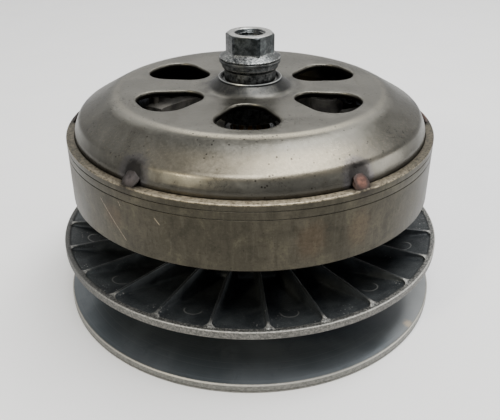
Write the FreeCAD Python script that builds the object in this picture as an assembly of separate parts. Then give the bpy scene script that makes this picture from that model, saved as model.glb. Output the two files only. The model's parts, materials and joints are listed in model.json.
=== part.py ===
import FreeCAD, Part
import math
import os

# Driven pulley of a scooter's belt drive, with its centrifugal clutch and clutch bell.
# Millimetres. +Z runs along the shaft, from the gearbox side up to the nut. The origin is on the
# shaft axis, level with the foot of the lower sheave's rim. The front is -Y, and an angle written
# as "from the front" turns from -Y towards +X.

# --- belt groove -----------------------------------------------------------------------------
SHEAVE_LEAN = 14.0                            # each belt face leans this much, degrees
SHEAVE_SLOPE = math.tan(math.radians(SHEAVE_LEAN))
SHEAVE_TRAVEL = 15.0                          # how far the groove opens
SHEAVE_TWIST = 40.0                           # degrees the upper sheave turns over that travel
FACE_FLAT_R = 41.0                            # inside this radius both belt faces are flat
PARTING = 0.3                                 # gap between bodies that meet at a stop
FACE_ROUND = 1.5                              # where a belt face turns flat
RIM_EDGE = 0.5                                # bevel of a sheave's rim
EDGE = 0.4                                    # small roundings and chamfers
PAST = 1.0                                    # how far a cutting tool runs past what it cuts

# --- lower sheave ----------------------------------------------------------------------------
FIXED_R = 85.7
FIXED_RIM = 3.9                               # height of its rim
FIXED_FOOT = 3.0                              # width of the rim's foot
FIXED_WALL = 4.3                              # wall under the belt face
FIXED_HEEL = 2.5                              # run of the slope from the foot up to the wall
FIXED_WEB_R = FACE_FLAT_R - 2.0
WEB_ROUND = 2.0
FIXED_FLAT_Z = FIXED_RIM + (FIXED_R - FACE_FLAT_R) * SHEAVE_SLOPE
SPIGOT_R = 24.0                               # sheave bore, on the hub
FLANGE_R = 34.5                               # hub flange under the sheave
FLANGE_Z = 6.0
FLANGE_TOP = 10.0
RIVET_RING_R = 29.3
RIVET_R = 2.6
RIVET_HEAD_R = 4.5
RIVET_HEAD_H = 2.2
RIVET_SINK_R = 3.9
RIVET_SINK_H = 1.4
RIVETS = 6

# --- hub -------------------------------------------------------------------------------------
HUB_R = 19.0                                  # sliding diameter 38
HUB_FOOT = 1.0
HUB_FOOT_R = 22.0
HUB_FILLET = 1.0
HUB_BORE_R = 14.0
SEAT_Z = 63.0                                 # shoulder that the clutch carrier sits on
THREAD_R = 15.0
FLAT_HALF = 13.6                              # half the width over the two driving flats
HUB_TOP = 77.0

# --- bearings on the shaft ---------------------------------------------------------------------
SHAFT_R = 8.5                                 # gearbox shaft, diameter 17
BALL_Z = 3.0
BALL_WIDE = 10.0
BALL_OUTER_R = 17.5
BALL_PITCH_R = 13.0
BALL_R = 2.38
BALLS = 10
BALL_CAGE_HALF = 0.5                          # half its thickness
BALL_CAGE_TALL = 5.8
RACE_GAP = 1.6                                # from the pitch circle to each ring's shoulder
RACE_PLAY = 0.03
SEAL_THICK = 0.9
SEAL_INSET = 0.3
SEAL_GAP = 0.15                               # clear of the inner ring
SEAL_SEAT = 0.6                               # depth of its seat in the outer ring
CIRCLIP_Z = 1.8
CIRCLIP_THICK = 1.1
CIRCLIP_R = 18.5
CIRCLIP_BAND = 2.6
CIRCLIP_GAP = 34.0                            # open side, degrees
CIRCLIP_EAR_R = 2.0
CIRCLIP_EYE_R = 0.9
NEEDLE_Z = 60.0
NEEDLE_LONG = 16.0
NEEDLE_CUP_R = 11.5
NEEDLE_CUP_WALL = 1.0
NEEDLE_R = 0.98
NEEDLES = 14
NEEDLE_PITCH_R = SHAFT_R + 1.0
NEEDLE_END = 1.6                              # from the cup's end to the rollers' end
NEEDLE_CAGE_END = 1.1
NEEDLE_CAGE_HALF = 0.35                       # half its thickness
NEEDLE_SHOULDER = 1.5                         # hub's ledge under the cup
NEEDLE_RUN_IN = 3.0                           # cone from that ledge to the hub's bore

# --- upper sheave ------------------------------------------------------------------------------
MOVING_R = 85.9
MOVING_RIM_Z = 26.5                           # under side of its rim
MOVING_RIM_TOP = 30.1
MOVING_FLAT_Z = FIXED_FLAT_Z + PARTING
MOVING_WEB_TOP = 19.9
MOVING_WALL = 4.3
RIBS = 24
RIB_START = 4.7                               # first rib, degrees from the front
RIB_TOP = 31.0
RIB_TOP_HALF = 0.6
RIB_DRAFT = 0.07                              # growth of the half width per mm of depth
RIB_OUTER_R = 84.6
RIB_EASE_R = 82.0                             # outside this the rib's top runs down to the rim
RIB_END_Z = 30.4
POCKET_WALL_IN = 34.6                         # ring wall round the spring
POCKET_WALL_OUT = 37.0
POCKET_END_R = 83.6
POCKET_RISE = 0.3                             # web is this much thicker in the pockets
EJECTOR_R = 3.5                               # round ejector marks in every second pocket
EJECTOR_RING_R = 72.3
EJECTOR_DEPTH = 0.35

# --- torque cam --------------------------------------------------------------------------------
TUBE_PLAY = 0.05
TUBE_R = 24.0
TUBE_TOP = 47.5
TUBE_FLANGE_R = 27.0
TUBE_FLANGE_TOP = 17.4
CAM_TOP_Z = 39.9                              # pins sit here, at the top end of the slots
ROLLER_R = 2.75
ROLLER_PLAY = 0.06
PIN_R = 2.0
PIN_INNER_R = 14.3
PIN_OUTER_R = 23.6
CAM_PINS = 3
LIP_SEAL_R = 22.2
LIP_SEAL_TALL = 2.6
LIP_SEAL_PLAY = 0.02
LIP_SEAL_LIP = 0.9                            # how far the lip stands out from its back
O_RING_WIRE = 1.5
O_RING_LOW = 20.85
O_RING_HIGH = 43.85
O_RING_DEPTH = 1.1
COLLAR_IN = 24.05
COLLAR_OUT = 25.4
COLLAR_TOP = 46.5

# --- main spring -------------------------------------------------------------------------------
SPRING_SEAT_Z = 20.2
SPRING_SEAT_THICK = 2.0
SPRING_SEAT_IN = 25.7
SPRING_SEAT_OUT = 33.6
SPRING_SEAT_LIP = 27.2
SPRING_SEAT_LIP_TOP = 25.6
SPRING_R = 30.0
SPRING_WIRE = 4.2
SPRING_TURNS = 4.6
SPRING_GROUND = 0.3                           # share of the wire ground off at each end
SPRING_FOOT = 22.25
SPRING_REST = 0.05                            # clear of the seat and of the carrier

# --- clutch ------------------------------------------------------------------------------------
CARRIER_R = 70.0
CARRIER_Z = 51.0
CARRIER_THICK = 3.0
CARRIER_CUP_R = 38.5
CARRIER_CUP_TOP_R = 36.4
CARRIER_MIDDLE_R = 18.5
CARRIER_BEND = 3.5
CARRIER_WINDOW_R = 50.0
CARRIER_WINDOW_HALF = 5.5
CARRIER_NUT_FLATS = 41.0
CARRIER_NUT_TALL = 6.5
CARRIER_NUT_BEVEL = (1.6, 0.9)                # inwards, down
SHOES = 3
SHOE_FIRST = 20.0                             # first pivot, degrees from the front
SHOE_Z = 54.4
SHOE_TOP = 74.6
SHOE_IN = 53.0
SHOE_OUT = 70.2
SHOE_SPAN = 99.0
SHOE_WEIGHT_IN = 49.5                         # the free end is heavier
SHOE_WEIGHT_FROM = 66.0
SHOE_RECESS_DEPTH = 9.0
SHOE_RECESS = (50.0, 84.0)                    # first and last angle
SHOE_RECESS_WALL = (3.5, 3.0)                 # left standing inside and outside
PIVOT_R = 60.0
PIVOT_PIN_R = 4.0
PIVOT_PLAY = 0.06
PIVOT_BOSS_R = 8.6
PIVOT_TOP = 81.2
PIVOT_HEAD_R = 6.0
PIVOT_HEAD_TALL = 1.6
LINING_OUT = 73.2
LINING_FROM = 5.0
LINING_TO = 96.0
LINING_MARGIN = 0.5
CLIP_Z = 75.0
CLIP_THICK = 0.9
CLIP_R = 7.0
CLIP_GROOVE_R = 3.3
CLIP_NOTCH_R = 1.5
CLIP_NOTCHES = (115.0, 245.0)
CLIP_TURN = 35.0
DAMPER_ANGLE = 40.0
DAMPER_RING_R = 61.0
DAMPER_POST_R = 2.0
DAMPER_R = 4.0
DAMPER_TOP = 71.0
DAMPER_PLAY = 0.7
DAMPER_CAP = 0.8                              # post above its rubber
HOOK_ANGLE = 93.0
HOOK_RING_R = 58.0
HOOK_LUG_R = 1.8
HOOK_Z = 78.6
HOOK_TOP = 80.6
HOOK_WIRE = 1.2
HOOK_PLAY = 0.4
COIL_OUT = 3.2
COIL_IN = 2.0
COIL_LONG = 9.0

# --- clutch bell -------------------------------------------------------------------------------
DRUM_R = 79.0
DRUM_IN = 75.0
DRUM_Z = 51.6
DRUM_TOP = 79.05
DRUM_SEAT_R = 75.5
DRUM_SEAT_Z = 75.2
DRUM_GROOVES = (72.94, 76.26)                 # two turned lines round the wall
DRUM_GROOVE_HALF = 0.35
DRUM_GROOVE_DEPTH = 0.3
PLATE_THICK = 2.6
PLATE_TOP = 94.8
PLATE_PATH = (                                # outer face of the domed plate: radius, height, rounding
    (75.3, DRUM_SEAT_Z),
    (75.3, 81.2, 6.0),
    (72.9, 86.4, 4.2),
    (58.2, PLATE_TOP, 16.0),
    (18.2, PLATE_TOP, 5.0),
    (13.8, 98.45, 0.8),
    (13.36, 99.3),
)
PLATE_BORE_R = 12.25
VENTS = 6
VENT_START = -1.5                             # first vent, degrees from the front
VENT_TIP_R = 8.2                              # inner rounding
VENT_TIP_RING_R = 31.0
VENT_CORNER_R = 9.8                           # the two outer roundings
VENT_CORNER_ANGLE = 3.8
VENT_OUTER_R = 50.2
WELD_SLIPS = (2.6, 0.8, -1.1, 0.6, 1.2, -2.6)  # each bead's shift from midway between two vents
WELD_RING_R = 75.0
WELD_Z = 82.2
WELD_LEAN = 62.0
WELD_SIZE = (5.6, 4.2, 1.7)                   # half sizes up the shoulder, round the ring, outwards

BELL_HUB_FOOT = 82.0
BELL_HUB_TOP = 105.7
BELL_HUB_R = 14.5
BELL_HUB_PATH = (
    (SHAFT_R, BELL_HUB_FOOT),
    (BELL_HUB_R, BELL_HUB_FOOT),
    (BELL_HUB_R, 92.0),
    (PLATE_BORE_R, 93.6),
    (PLATE_BORE_R, 97.9),
    (10.95, 98.3),
    (10.95, 102.4),
    (12.04, 103.9),
    (12.04, BELL_HUB_TOP),
)
PILOT_LONG = 5.0                              # plain bore below the splines
SPLINE_MINOR_R = 6.9
SPLINE_MAJOR_R = 7.8
SPLINES = 18
WASHER_TOP = 107.1
WASHER_R = 13.0
WASHER_BORE_R = 6.5
NUT_FLANGE_TOP = 108.0
NUT_CONE_TOP = 109.7
NUT_TOP = 117.7
NUT_FLATS = 19.0
NUT_CORNER_R = 10.3
NUT_CROWN_R = 9.4
NUT_CROWN = 0.9
NUT_TURN = 20.0                               # first corner, degrees from the front
NUT_BORE_R = 5.4
NUT_SINK_R = 6.6

TINY = 1e-6
ORIGIN = FreeCAD.Vector(0, 0, 0)
Z_AXIS = FreeCAD.Vector(0, 0, 1)


# --- shapes that several parts share -------------------------------------------------------------
def outline(points, plane="xz"):
    """Closed wire through the corners; a third number rounds that corner with a tangent arc."""
    if plane == "xz":
        corners = [FreeCAD.Vector(p[0], 0, p[1]) for p in points]
    else:
        corners = [FreeCAD.Vector(p[0], p[1], 0) for p in points]
    count = len(corners)
    stretches = []
    for i, corner in enumerate(corners):
        rounding = points[i][2] if len(points[i]) > 2 else 0.0
        if not rounding:
            stretches.append((corner, None, corner))
            continue
        back = (corners[i - 1] - corner).normalize()
        ahead = (corners[(i + 1) % count] - corner).normalize()
        half = back.getAngle(ahead) / 2
        middle = (back + ahead).normalize()
        nearest = corner + middle * (rounding / math.sin(half) - rounding)
        reach = rounding / math.tan(half)
        stretches.append((corner + back * reach, nearest, corner + ahead * reach))
    edges = []
    for i, (start, middle, end) in enumerate(stretches):
        if middle is not None:
            edges.append(Part.Arc(start, middle, end).toShape())
        following = stretches[(i + 1) % count][0]
        if end.distanceToPoint(following) > TINY:
            edges.append(Part.LineSegment(end, following).toShape())
    return Part.Wire(edges)


def revolved(points, angle=360.0):
    """Solid of revolution about the shaft axis, starting in the XZ plane."""
    return Part.Face(outline(points)).revolve(ORIGIN, Z_AXIS, angle)


def ring(inner, outer, low, high):
    return revolved([(inner, low), (outer, low), (outer, high), (inner, high)])


def sector(inner, outer, low, high, start, end):
    """Part of a ring between two angles, in degrees from +X."""
    piece = revolved([(inner, low), (outer, low), (outer, high), (inner, high)], end - start)
    return turned(piece, start)


def column(radius, low, high, x=0.0, y=0.0):
    return Part.makeCylinder(radius, high - low, FreeCAD.Vector(x, y, low))


def pressing(path, thickness):
    """Sheet of one thickness: the path is one face, and the other lies to the left of its direction."""
    points = [FreeCAD.Vector(p[0], p[1], 0) for p in path]
    steps = [(b - a).normalize() for a, b in zip(points, points[1:])]
    sides = [FreeCAD.Vector(-s.y, s.x, 0) for s in steps]
    other = []
    for i, point in enumerate(points):
        before = sides[max(i - 1, 0)]
        after = sides[min(i, len(sides) - 1)]
        moved = point + (before + after) * (thickness / (1 + before.dot(after)))
        if len(path[i]) > 2:
            towards = steps[i - 1].cross(steps[i]).z > 0
            rounding = path[i][2] - thickness if towards else path[i][2] + thickness
            other.append((moved.x, moved.y, rounding))
        else:
            other.append((moved.x, moved.y))
    return revolved(list(path) + other[::-1])


def turned(shape, angle):
    copy = shape.copy()
    copy.rotate(ORIGIN, Z_AXIS, angle)
    return copy


def around(shape, count, start=0.0):
    """Equally spaced copies of a shape round the axis."""
    return [turned(shape, start + 360.0 * i / count) for i in range(count)]


def from_front(angle):
    """Turn that takes something built on +X to this angle from the front."""
    return angle - 90.0


def polar(radius, angle):
    turn = math.radians(angle)
    return radius * math.cos(turn), radius * math.sin(turn)


def hexagon(flats, low, high):
    corner = flats / math.sqrt(3)
    corners = [polar(corner, 60.0 * i) for i in range(6)]
    face = Part.Face(outline(corners, "xy"))
    face.translate(FreeCAD.Vector(0, 0, low))
    return face.extrude(FreeCAD.Vector(0, 0, high - low))


def torus(major, wire, height):
    return Part.makeTorus(major, wire / 2, FreeCAD.Vector(0, 0, height))


def belt_face(radius, rim_radius, rim_z, lean):
    """Height of a belt face at a radius."""
    return rim_z + lean * (rim_radius - radius) * SHEAVE_SLOPE


# --- lower sheave and hub --------------------------------------------------------------------------
def fixed_sheave():
    foot_in = FIXED_R - FIXED_FOOT
    under_r = foot_in - FIXED_HEEL
    under_z = belt_face(under_r, FIXED_R, FIXED_RIM, 1) - FIXED_WALL
    edge_r = FIXED_R - RIM_EDGE
    body = revolved([
        (SPIGOT_R, FLANGE_TOP),
        (FIXED_WEB_R, FLANGE_TOP, WEB_ROUND),
        (under_r, under_z, WEB_ROUND),
        (foot_in, 0.0),
        (FIXED_R - EDGE, 0.0),
        (FIXED_R, EDGE),
        (FIXED_R, FIXED_RIM - RIM_EDGE),
        (edge_r, belt_face(edge_r, FIXED_R, FIXED_RIM, 1)),
        (FACE_FLAT_R, FIXED_FLAT_Z, FACE_ROUND),
        (SPIGOT_R, FIXED_FLAT_Z),
    ])
    return body.cut(Part.makeCompound(around(rivet(), RIVETS)))


def rivet():
    shank = column(RIVET_R, FLANGE_Z, FIXED_FLAT_Z, RIVET_RING_R)
    sink = Part.makeCone(RIVET_R, RIVET_SINK_R, RIVET_SINK_H,
                         FreeCAD.Vector(RIVET_RING_R, 0, FIXED_FLAT_Z - RIVET_SINK_H))
    dome_r = (RIVET_HEAD_R ** 2 + RIVET_HEAD_H ** 2) / (2 * RIVET_HEAD_H)
    dome = Part.makeSphere(dome_r, FreeCAD.Vector(RIVET_RING_R, 0, FLANGE_Z - RIVET_HEAD_H + dome_r))
    dome = dome.common(column(RIVET_HEAD_R, FLANGE_Z - RIVET_HEAD_H, FLANGE_Z, RIVET_RING_R))
    return shank.fuse([sink, dome])


def driven_hub():
    ball_top = BALL_Z + BALL_WIDE
    needle_lip = NEEDLE_Z - NEEDLE_SHOULDER
    body = revolved([
        (BALL_OUTER_R, HUB_FOOT),
        (HUB_FOOT_R, HUB_FOOT, EDGE),
        (HUB_FOOT_R, FLANGE_Z, HUB_FILLET),
        (FLANGE_R, FLANGE_Z, EDGE),
        (FLANGE_R, FLANGE_TOP),
        (SPIGOT_R, FLANGE_TOP),
        (SPIGOT_R, FIXED_FLAT_Z),
        (HUB_R, FIXED_FLAT_Z),
        (HUB_R, SEAT_Z),
        (THREAD_R, SEAT_Z),
        (THREAD_R, HUB_TOP, EDGE),
        (NEEDLE_CUP_R, HUB_TOP),
        (NEEDLE_CUP_R, NEEDLE_Z),
        (NEEDLE_CUP_R - NEEDLE_CUP_WALL, NEEDLE_Z),
        (NEEDLE_CUP_R - NEEDLE_CUP_WALL, needle_lip),
        (HUB_BORE_R, needle_lip - NEEDLE_RUN_IN),
        (HUB_BORE_R, ball_top),
        (BALL_OUTER_R, ball_top),
    ])
    carrier_top = SEAT_Z + CARRIER_THICK
    seat = Part.makeBox(4 * THREAD_R, 2 * FLAT_HALF, CARRIER_THICK,
                        FreeCAD.Vector(-2 * THREAD_R, -FLAT_HALF, SEAT_Z))
    flats = ring(FLAT_HALF - PAST, THREAD_R + PAST, SEAT_Z, carrier_top).cut(seat)
    groove = ring(BALL_OUTER_R - PAST, CIRCLIP_R, CIRCLIP_Z, CIRCLIP_Z + CIRCLIP_THICK)
    pins = Part.makeCompound(around(cam_pin(), CAM_PINS, from_front(0)))
    rivets = Part.makeCompound(around(rivet(), RIVETS))
    return body.cut([flats, groove, pins, rivets])


# --- bearings --------------------------------------------------------------------------------------
def ball_groove():
    return Part.makeTorus(BALL_PITCH_R, BALL_R + RACE_PLAY, FreeCAD.Vector(0, 0, BALL_Z + BALL_WIDE / 2))


def ball_bearing_outer_ring():
    inner = BALL_PITCH_R + RACE_GAP
    body = revolved([
        (inner, BALL_Z),
        (BALL_OUTER_R, BALL_Z, EDGE),
        (BALL_OUTER_R, BALL_Z + BALL_WIDE, EDGE),
        (inner, BALL_Z + BALL_WIDE),
    ])
    return body.cut([ball_groove()] + bearing_seal_seats())


def ball_bearing_inner_ring():
    outer = BALL_PITCH_R - RACE_GAP
    body = revolved([
        (SHAFT_R, BALL_Z, EDGE),
        (outer, BALL_Z),
        (outer, BALL_Z + BALL_WIDE),
        (SHAFT_R, BALL_Z + BALL_WIDE, EDGE),
    ])
    return body.cut(ball_groove())


def bearing_seal_seats():
    """The two discs that close the bearing, set into the outer ring."""
    inner = BALL_PITCH_R - RACE_GAP + SEAL_GAP
    outer = BALL_PITCH_R + RACE_GAP + SEAL_SEAT
    low = BALL_Z + SEAL_INSET
    high = BALL_Z + BALL_WIDE - SEAL_INSET
    return [ring(inner, outer, low, low + SEAL_THICK), ring(inner, outer, high - SEAL_THICK, high)]


def ball():
    return Part.makeSphere(BALL_R, FreeCAD.Vector(BALL_PITCH_R, 0, BALL_Z + BALL_WIDE / 2))


def ball_cage():
    middle = BALL_Z + BALL_WIDE / 2
    inner = BALL_PITCH_R - BALL_CAGE_HALF
    outer = BALL_PITCH_R + BALL_CAGE_HALF
    band = ring(inner, outer, middle - BALL_CAGE_TALL / 2, middle + BALL_CAGE_TALL / 2)
    pocket = along_x(BALL_R + RACE_PLAY, inner - PAST, outer + PAST, middle)
    return band.cut(around(pocket, BALLS))


def bearing_circlip():
    high = CIRCLIP_Z + CIRCLIP_THICK
    half_gap = CIRCLIP_GAP / 2
    inner = CIRCLIP_R - CIRCLIP_BAND
    body = sector(inner, CIRCLIP_R, CIRCLIP_Z, high, half_gap, 360 - half_gap)
    ear_ring_r = inner + EDGE / 2
    for side in (-1, 1):
        x, y = polar(ear_ring_r, side * (half_gap + 2 * CIRCLIP_EAR_R))
        body = body.fuse(column(CIRCLIP_EAR_R, CIRCLIP_Z, high, x, y))
        body = body.cut(column(CIRCLIP_EYE_R, CIRCLIP_Z - PAST, high + PAST, x, y))
    return turned(body, from_front(180))


def needle_cup():
    lip = NEEDLE_CUP_R - 2.5 * NEEDLE_CUP_WALL
    top = NEEDLE_Z + NEEDLE_LONG
    inner = NEEDLE_CUP_R - NEEDLE_CUP_WALL
    thin = 0.8 * NEEDLE_CUP_WALL
    return revolved([
        (lip, NEEDLE_Z),
        (NEEDLE_CUP_R, NEEDLE_Z, EDGE),
        (NEEDLE_CUP_R, top, EDGE),
        (lip, top),
        (lip, top - thin),
        (inner, top - thin),
        (inner, NEEDLE_Z + thin),
        (lip, NEEDLE_Z + thin),
    ])


def needle():
    top = NEEDLE_Z + NEEDLE_LONG
    return column(NEEDLE_R, NEEDLE_Z + NEEDLE_END, top - NEEDLE_END, NEEDLE_PITCH_R)


def needle_cage():
    low = NEEDLE_Z + NEEDLE_CAGE_END
    high = NEEDLE_Z + NEEDLE_LONG - NEEDLE_CAGE_END
    band = ring(NEEDLE_PITCH_R - NEEDLE_CAGE_HALF, NEEDLE_PITCH_R + NEEDLE_CAGE_HALF, low, high)
    window = column(NEEDLE_R + RACE_PLAY, low + EDGE, high - EDGE, NEEDLE_PITCH_R)
    return band.cut(around(window, NEEDLES))


# --- torque cam --------------------------------------------------------------------------------------
def along_x(radius, start, end, height):
    return Part.makeCylinder(radius, end - start, FreeCAD.Vector(start, 0, height), FreeCAD.Vector(1, 0, 0))


def cam_pin():
    return along_x(PIN_R, PIN_INNER_R, PIN_OUTER_R, CAM_TOP_Z)


def guide_roller():
    inner = HUB_R + EDGE
    outer = PIN_OUTER_R - EDGE / 2
    hole = along_x(PIN_R, inner - PAST, outer + PAST, CAM_TOP_Z)
    return along_x(ROLLER_R, inner, outer, CAM_TOP_Z).cut(hole)


def cam_slot():
    """Helical slot through the tube, from its top end on +X down and back by the travel."""
    inner = HUB_R - PAST
    outer = TUBE_R + PAST
    half = ROLLER_R + ROLLER_PLAY
    middle = (HUB_R + TUBE_R) / 2
    foot_z = CAM_TOP_Z - SHEAVE_TRAVEL
    pitch = SHEAVE_TRAVEL * 360.0 / SHEAVE_TWIST
    spine = Part.makeHelix(pitch, SHEAVE_TRAVEL, middle)
    lean = math.atan2(pitch, 2 * math.pi * middle)
    across = FreeCAD.Vector(0, -math.sin(lean), math.cos(lean)) * half
    near = FreeCAD.Vector(inner, 0, 0)
    far = FreeCAD.Vector(outer, 0, 0)
    mouth = Part.makePolygon([near - across, far - across, far + across, near + across, near - across])
    groove = Part.Wire(spine.Edges).makePipeShell([mouth], True, True)
    groove.translate(FreeCAD.Vector(0, 0, foot_z))
    groove.rotate(ORIGIN, Z_AXIS, -SHEAVE_TWIST)
    top_end = along_x(half, inner, outer, CAM_TOP_Z)
    low_end = turned(along_x(half, inner, outer, foot_z), -SHEAVE_TWIST)
    return groove.fuse([top_end, low_end]).removeSplitter()


def o_ring_groove(height):
    return ring(TUBE_R - O_RING_DEPTH, TUBE_R + PAST, height - O_RING_WIRE / 2, height + O_RING_WIRE / 2)


def cam_tube():
    inner = HUB_R + TUBE_PLAY
    body = revolved([
        (LIP_SEAL_R, MOVING_FLAT_Z),
        (TUBE_FLANGE_R, MOVING_FLAT_Z),
        (TUBE_FLANGE_R, TUBE_FLANGE_TOP),
        (TUBE_R, TUBE_FLANGE_TOP),
        (TUBE_R, TUBE_TOP, EDGE),
        (LIP_SEAL_R, TUBE_TOP),
        (LIP_SEAL_R, TUBE_TOP - LIP_SEAL_TALL),
        (inner, TUBE_TOP - LIP_SEAL_TALL),
        (inner, MOVING_FLAT_Z + LIP_SEAL_TALL),
        (LIP_SEAL_R, MOVING_FLAT_Z + LIP_SEAL_TALL),
    ])
    slots = around(cam_slot(), CAM_PINS, from_front(0))
    return body.cut([o_ring_groove(O_RING_LOW), o_ring_groove(O_RING_HIGH)]).cut(slots)


def o_ring(height):
    major = TUBE_R - O_RING_DEPTH + O_RING_WIRE / 2
    keep = ring(TUBE_R - O_RING_DEPTH, COLLAR_IN, height - O_RING_WIRE, height + O_RING_WIRE)
    return torus(major, O_RING_WIRE, height).common(keep)


def lip_seal(low):
    lip = HUB_R + TUBE_PLAY + LIP_SEAL_PLAY
    high = low + LIP_SEAL_TALL
    return revolved([
        (lip + LIP_SEAL_LIP, low),
        (LIP_SEAL_R, low),
        (LIP_SEAL_R, high),
        (lip + LIP_SEAL_LIP + EDGE, high),
        (lip, high - LIP_SEAL_LIP),
        (lip, high - LIP_SEAL_LIP - EDGE),
    ])


def seal_collar():
    return revolved([
        (COLLAR_IN, MOVING_WEB_TOP),
        (COLLAR_OUT, MOVING_WEB_TOP),
        (COLLAR_OUT, COLLAR_TOP, EDGE),
        (COLLAR_IN, COLLAR_TOP),
    ])


# --- upper sheave --------------------------------------------------------------------------------------
def moving_face(radius):
    return belt_face(radius, MOVING_R, MOVING_RIM_Z, -1)


def rib():
    """Radial rib with drafted sides, from the spring's ring wall out to the rim."""
    inner = (POCKET_WALL_IN + POCKET_WALL_OUT) / 2
    sunk = MOVING_WALL / 2
    side = Part.Face(outline([
        (inner, moving_face(FACE_FLAT_R) + sunk),
        (FACE_FLAT_R, moving_face(FACE_FLAT_R) + sunk),
        (RIB_OUTER_R, moving_face(RIB_OUTER_R) + sunk),
        (RIB_OUTER_R, RIB_END_Z),
        (RIB_EASE_R, RIB_TOP),
        (inner, RIB_TOP),
    ]))
    wide = 4 * (RIB_TOP_HALF + RIB_DRAFT * RIB_TOP)
    side.translate(FreeCAD.Vector(0, -wide / 2, 0))
    slab = side.extrude(FreeCAD.Vector(0, wide, 0))
    depth = RIB_TOP - MOVING_FLAT_Z
    foot = RIB_TOP_HALF + RIB_DRAFT * depth
    section = Part.makePolygon([
        FreeCAD.Vector(0, -foot, RIB_TOP - depth),
        FreeCAD.Vector(0, foot, RIB_TOP - depth),
        FreeCAD.Vector(0, RIB_TOP_HALF, RIB_TOP),
        FreeCAD.Vector(0, -RIB_TOP_HALF, RIB_TOP),
        FreeCAD.Vector(0, -foot, RIB_TOP - depth),
    ])
    return slab.common(Part.Face(section).extrude(FreeCAD.Vector(MOVING_R, 0, 0)))


def movable_sheave():
    edge_r = MOVING_R - RIM_EDGE
    pocket_z = moving_face(FACE_FLAT_R) + MOVING_WALL + POCKET_RISE
    body = revolved([
        (TUBE_R, TUBE_FLANGE_TOP),
        (TUBE_FLANGE_R, TUBE_FLANGE_TOP),
        (TUBE_FLANGE_R, MOVING_FLAT_Z),
        (FACE_FLAT_R, MOVING_FLAT_Z, FACE_ROUND),
        (edge_r, moving_face(edge_r)),
        (MOVING_R, MOVING_RIM_Z + RIM_EDGE),
        (MOVING_R, MOVING_RIM_TOP - EDGE),
        (MOVING_R - EDGE, MOVING_RIM_TOP),
        (POCKET_END_R, MOVING_RIM_TOP - EDGE / 2),
        (FACE_FLAT_R, pocket_z),
        (POCKET_WALL_OUT, MOVING_WEB_TOP + POCKET_RISE, 1.0),
        (POCKET_WALL_OUT, RIB_TOP),
        (POCKET_WALL_IN, RIB_TOP),
        (POCKET_WALL_IN, MOVING_WEB_TOP, 1.0),
        (TUBE_R, MOVING_WEB_TOP),
    ])
    ribs = around(rib(), RIBS, from_front(RIB_START))
    mark_z = moving_face(EJECTOR_RING_R) + MOVING_WALL
    mark = column(EJECTOR_R, mark_z - EJECTOR_DEPTH, RIB_TOP, EJECTOR_RING_R)
    mark.rotate(FreeCAD.Vector(EJECTOR_RING_R, 0, mark_z), FreeCAD.Vector(0, 1, 0), -SHEAVE_LEAN)
    half_pocket = 180.0 / RIBS
    marks = around(mark, RIBS // 2, from_front(RIB_START + half_pocket))
    return body.cut(marks).fuse(ribs).removeSplitter()


# --- main spring ---------------------------------------------------------------------------------------
def spring_seat():
    top = SPRING_SEAT_Z + SPRING_SEAT_THICK
    return revolved([
        (SPRING_SEAT_IN, SPRING_SEAT_Z),
        (SPRING_SEAT_OUT, SPRING_SEAT_Z, EDGE),
        (SPRING_SEAT_OUT, top, EDGE),
        (SPRING_SEAT_LIP, top, EDGE),
        (SPRING_SEAT_LIP, SPRING_SEAT_LIP_TOP, EDGE),
        (SPRING_SEAT_IN, SPRING_SEAT_LIP_TOP, EDGE),
    ])


def main_spring():
    """Compression spring with ground ends, between the seat and the carrier's cup."""
    top = SEAT_Z - SPRING_REST
    over = SPRING_GROUND * SPRING_WIRE
    tall = top - SPRING_FOOT - SPRING_WIRE + 2 * over
    spine = Part.makeHelix(tall / SPRING_TURNS, tall, SPRING_R)
    start = spine.Vertexes[0].Point
    wire = Part.Wire(Part.makeCircle(SPRING_WIRE / 2, start, FreeCAD.Vector(0, 1, 0)))
    coil = Part.Wire(spine.Edges).makePipeShell([wire], True, True)
    coil.translate(FreeCAD.Vector(0, 0, SPRING_FOOT + SPRING_WIRE / 2 - over))
    return coil.common(ring(SPRING_R - SPRING_WIRE, SPRING_R + SPRING_WIRE, SPRING_FOOT, top))


# --- clutch --------------------------------------------------------------------------------------------
def pivot_pin():
    shank = revolved([
        (0.0, CARRIER_Z),
        (PIVOT_PIN_R, CARRIER_Z),
        (PIVOT_PIN_R, CLIP_Z),
        (CLIP_GROOVE_R, CLIP_Z),
        (CLIP_GROOVE_R, CLIP_Z + CLIP_THICK),
        (PIVOT_PIN_R, CLIP_Z + CLIP_THICK),
        (PIVOT_PIN_R, PIVOT_TOP, EDGE),
        (0.0, PIVOT_TOP),
    ])
    head = Part.makeCone(PIVOT_HEAD_R - 2 * EDGE, PIVOT_HEAD_R, PIVOT_HEAD_TALL,
                         FreeCAD.Vector(0, 0, CARRIER_Z - PIVOT_HEAD_TALL))
    pin = shank.fuse(head)
    pin.translate(FreeCAD.Vector(PIVOT_R, 0, 0))
    return pin


def pin_clip():
    """Snap clip with an open side, in the pivot pin's groove."""
    high = CLIP_Z + CLIP_THICK
    half_mouth = 0.8 * CLIP_GROOVE_R
    mouth = Part.makeBox(2 * CLIP_R, 2 * half_mouth, CLIP_THICK, FreeCAD.Vector(0, -half_mouth, CLIP_Z))
    body = ring(CLIP_GROOVE_R, CLIP_R, CLIP_Z, high).cut(mouth)
    notches = [column(CLIP_NOTCH_R, CLIP_Z, high, *polar(CLIP_GROOVE_R, angle)) for angle in CLIP_NOTCHES]
    body = body.cut(notches)
    body.rotate(ORIGIN, Z_AXIS, CLIP_TURN)
    body.translate(FreeCAD.Vector(PIVOT_R, 0, 0))
    return body


def damper_post():
    return column(DAMPER_POST_R, CARRIER_Z, DAMPER_TOP, *polar(DAMPER_RING_R, DAMPER_ANGLE))


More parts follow.
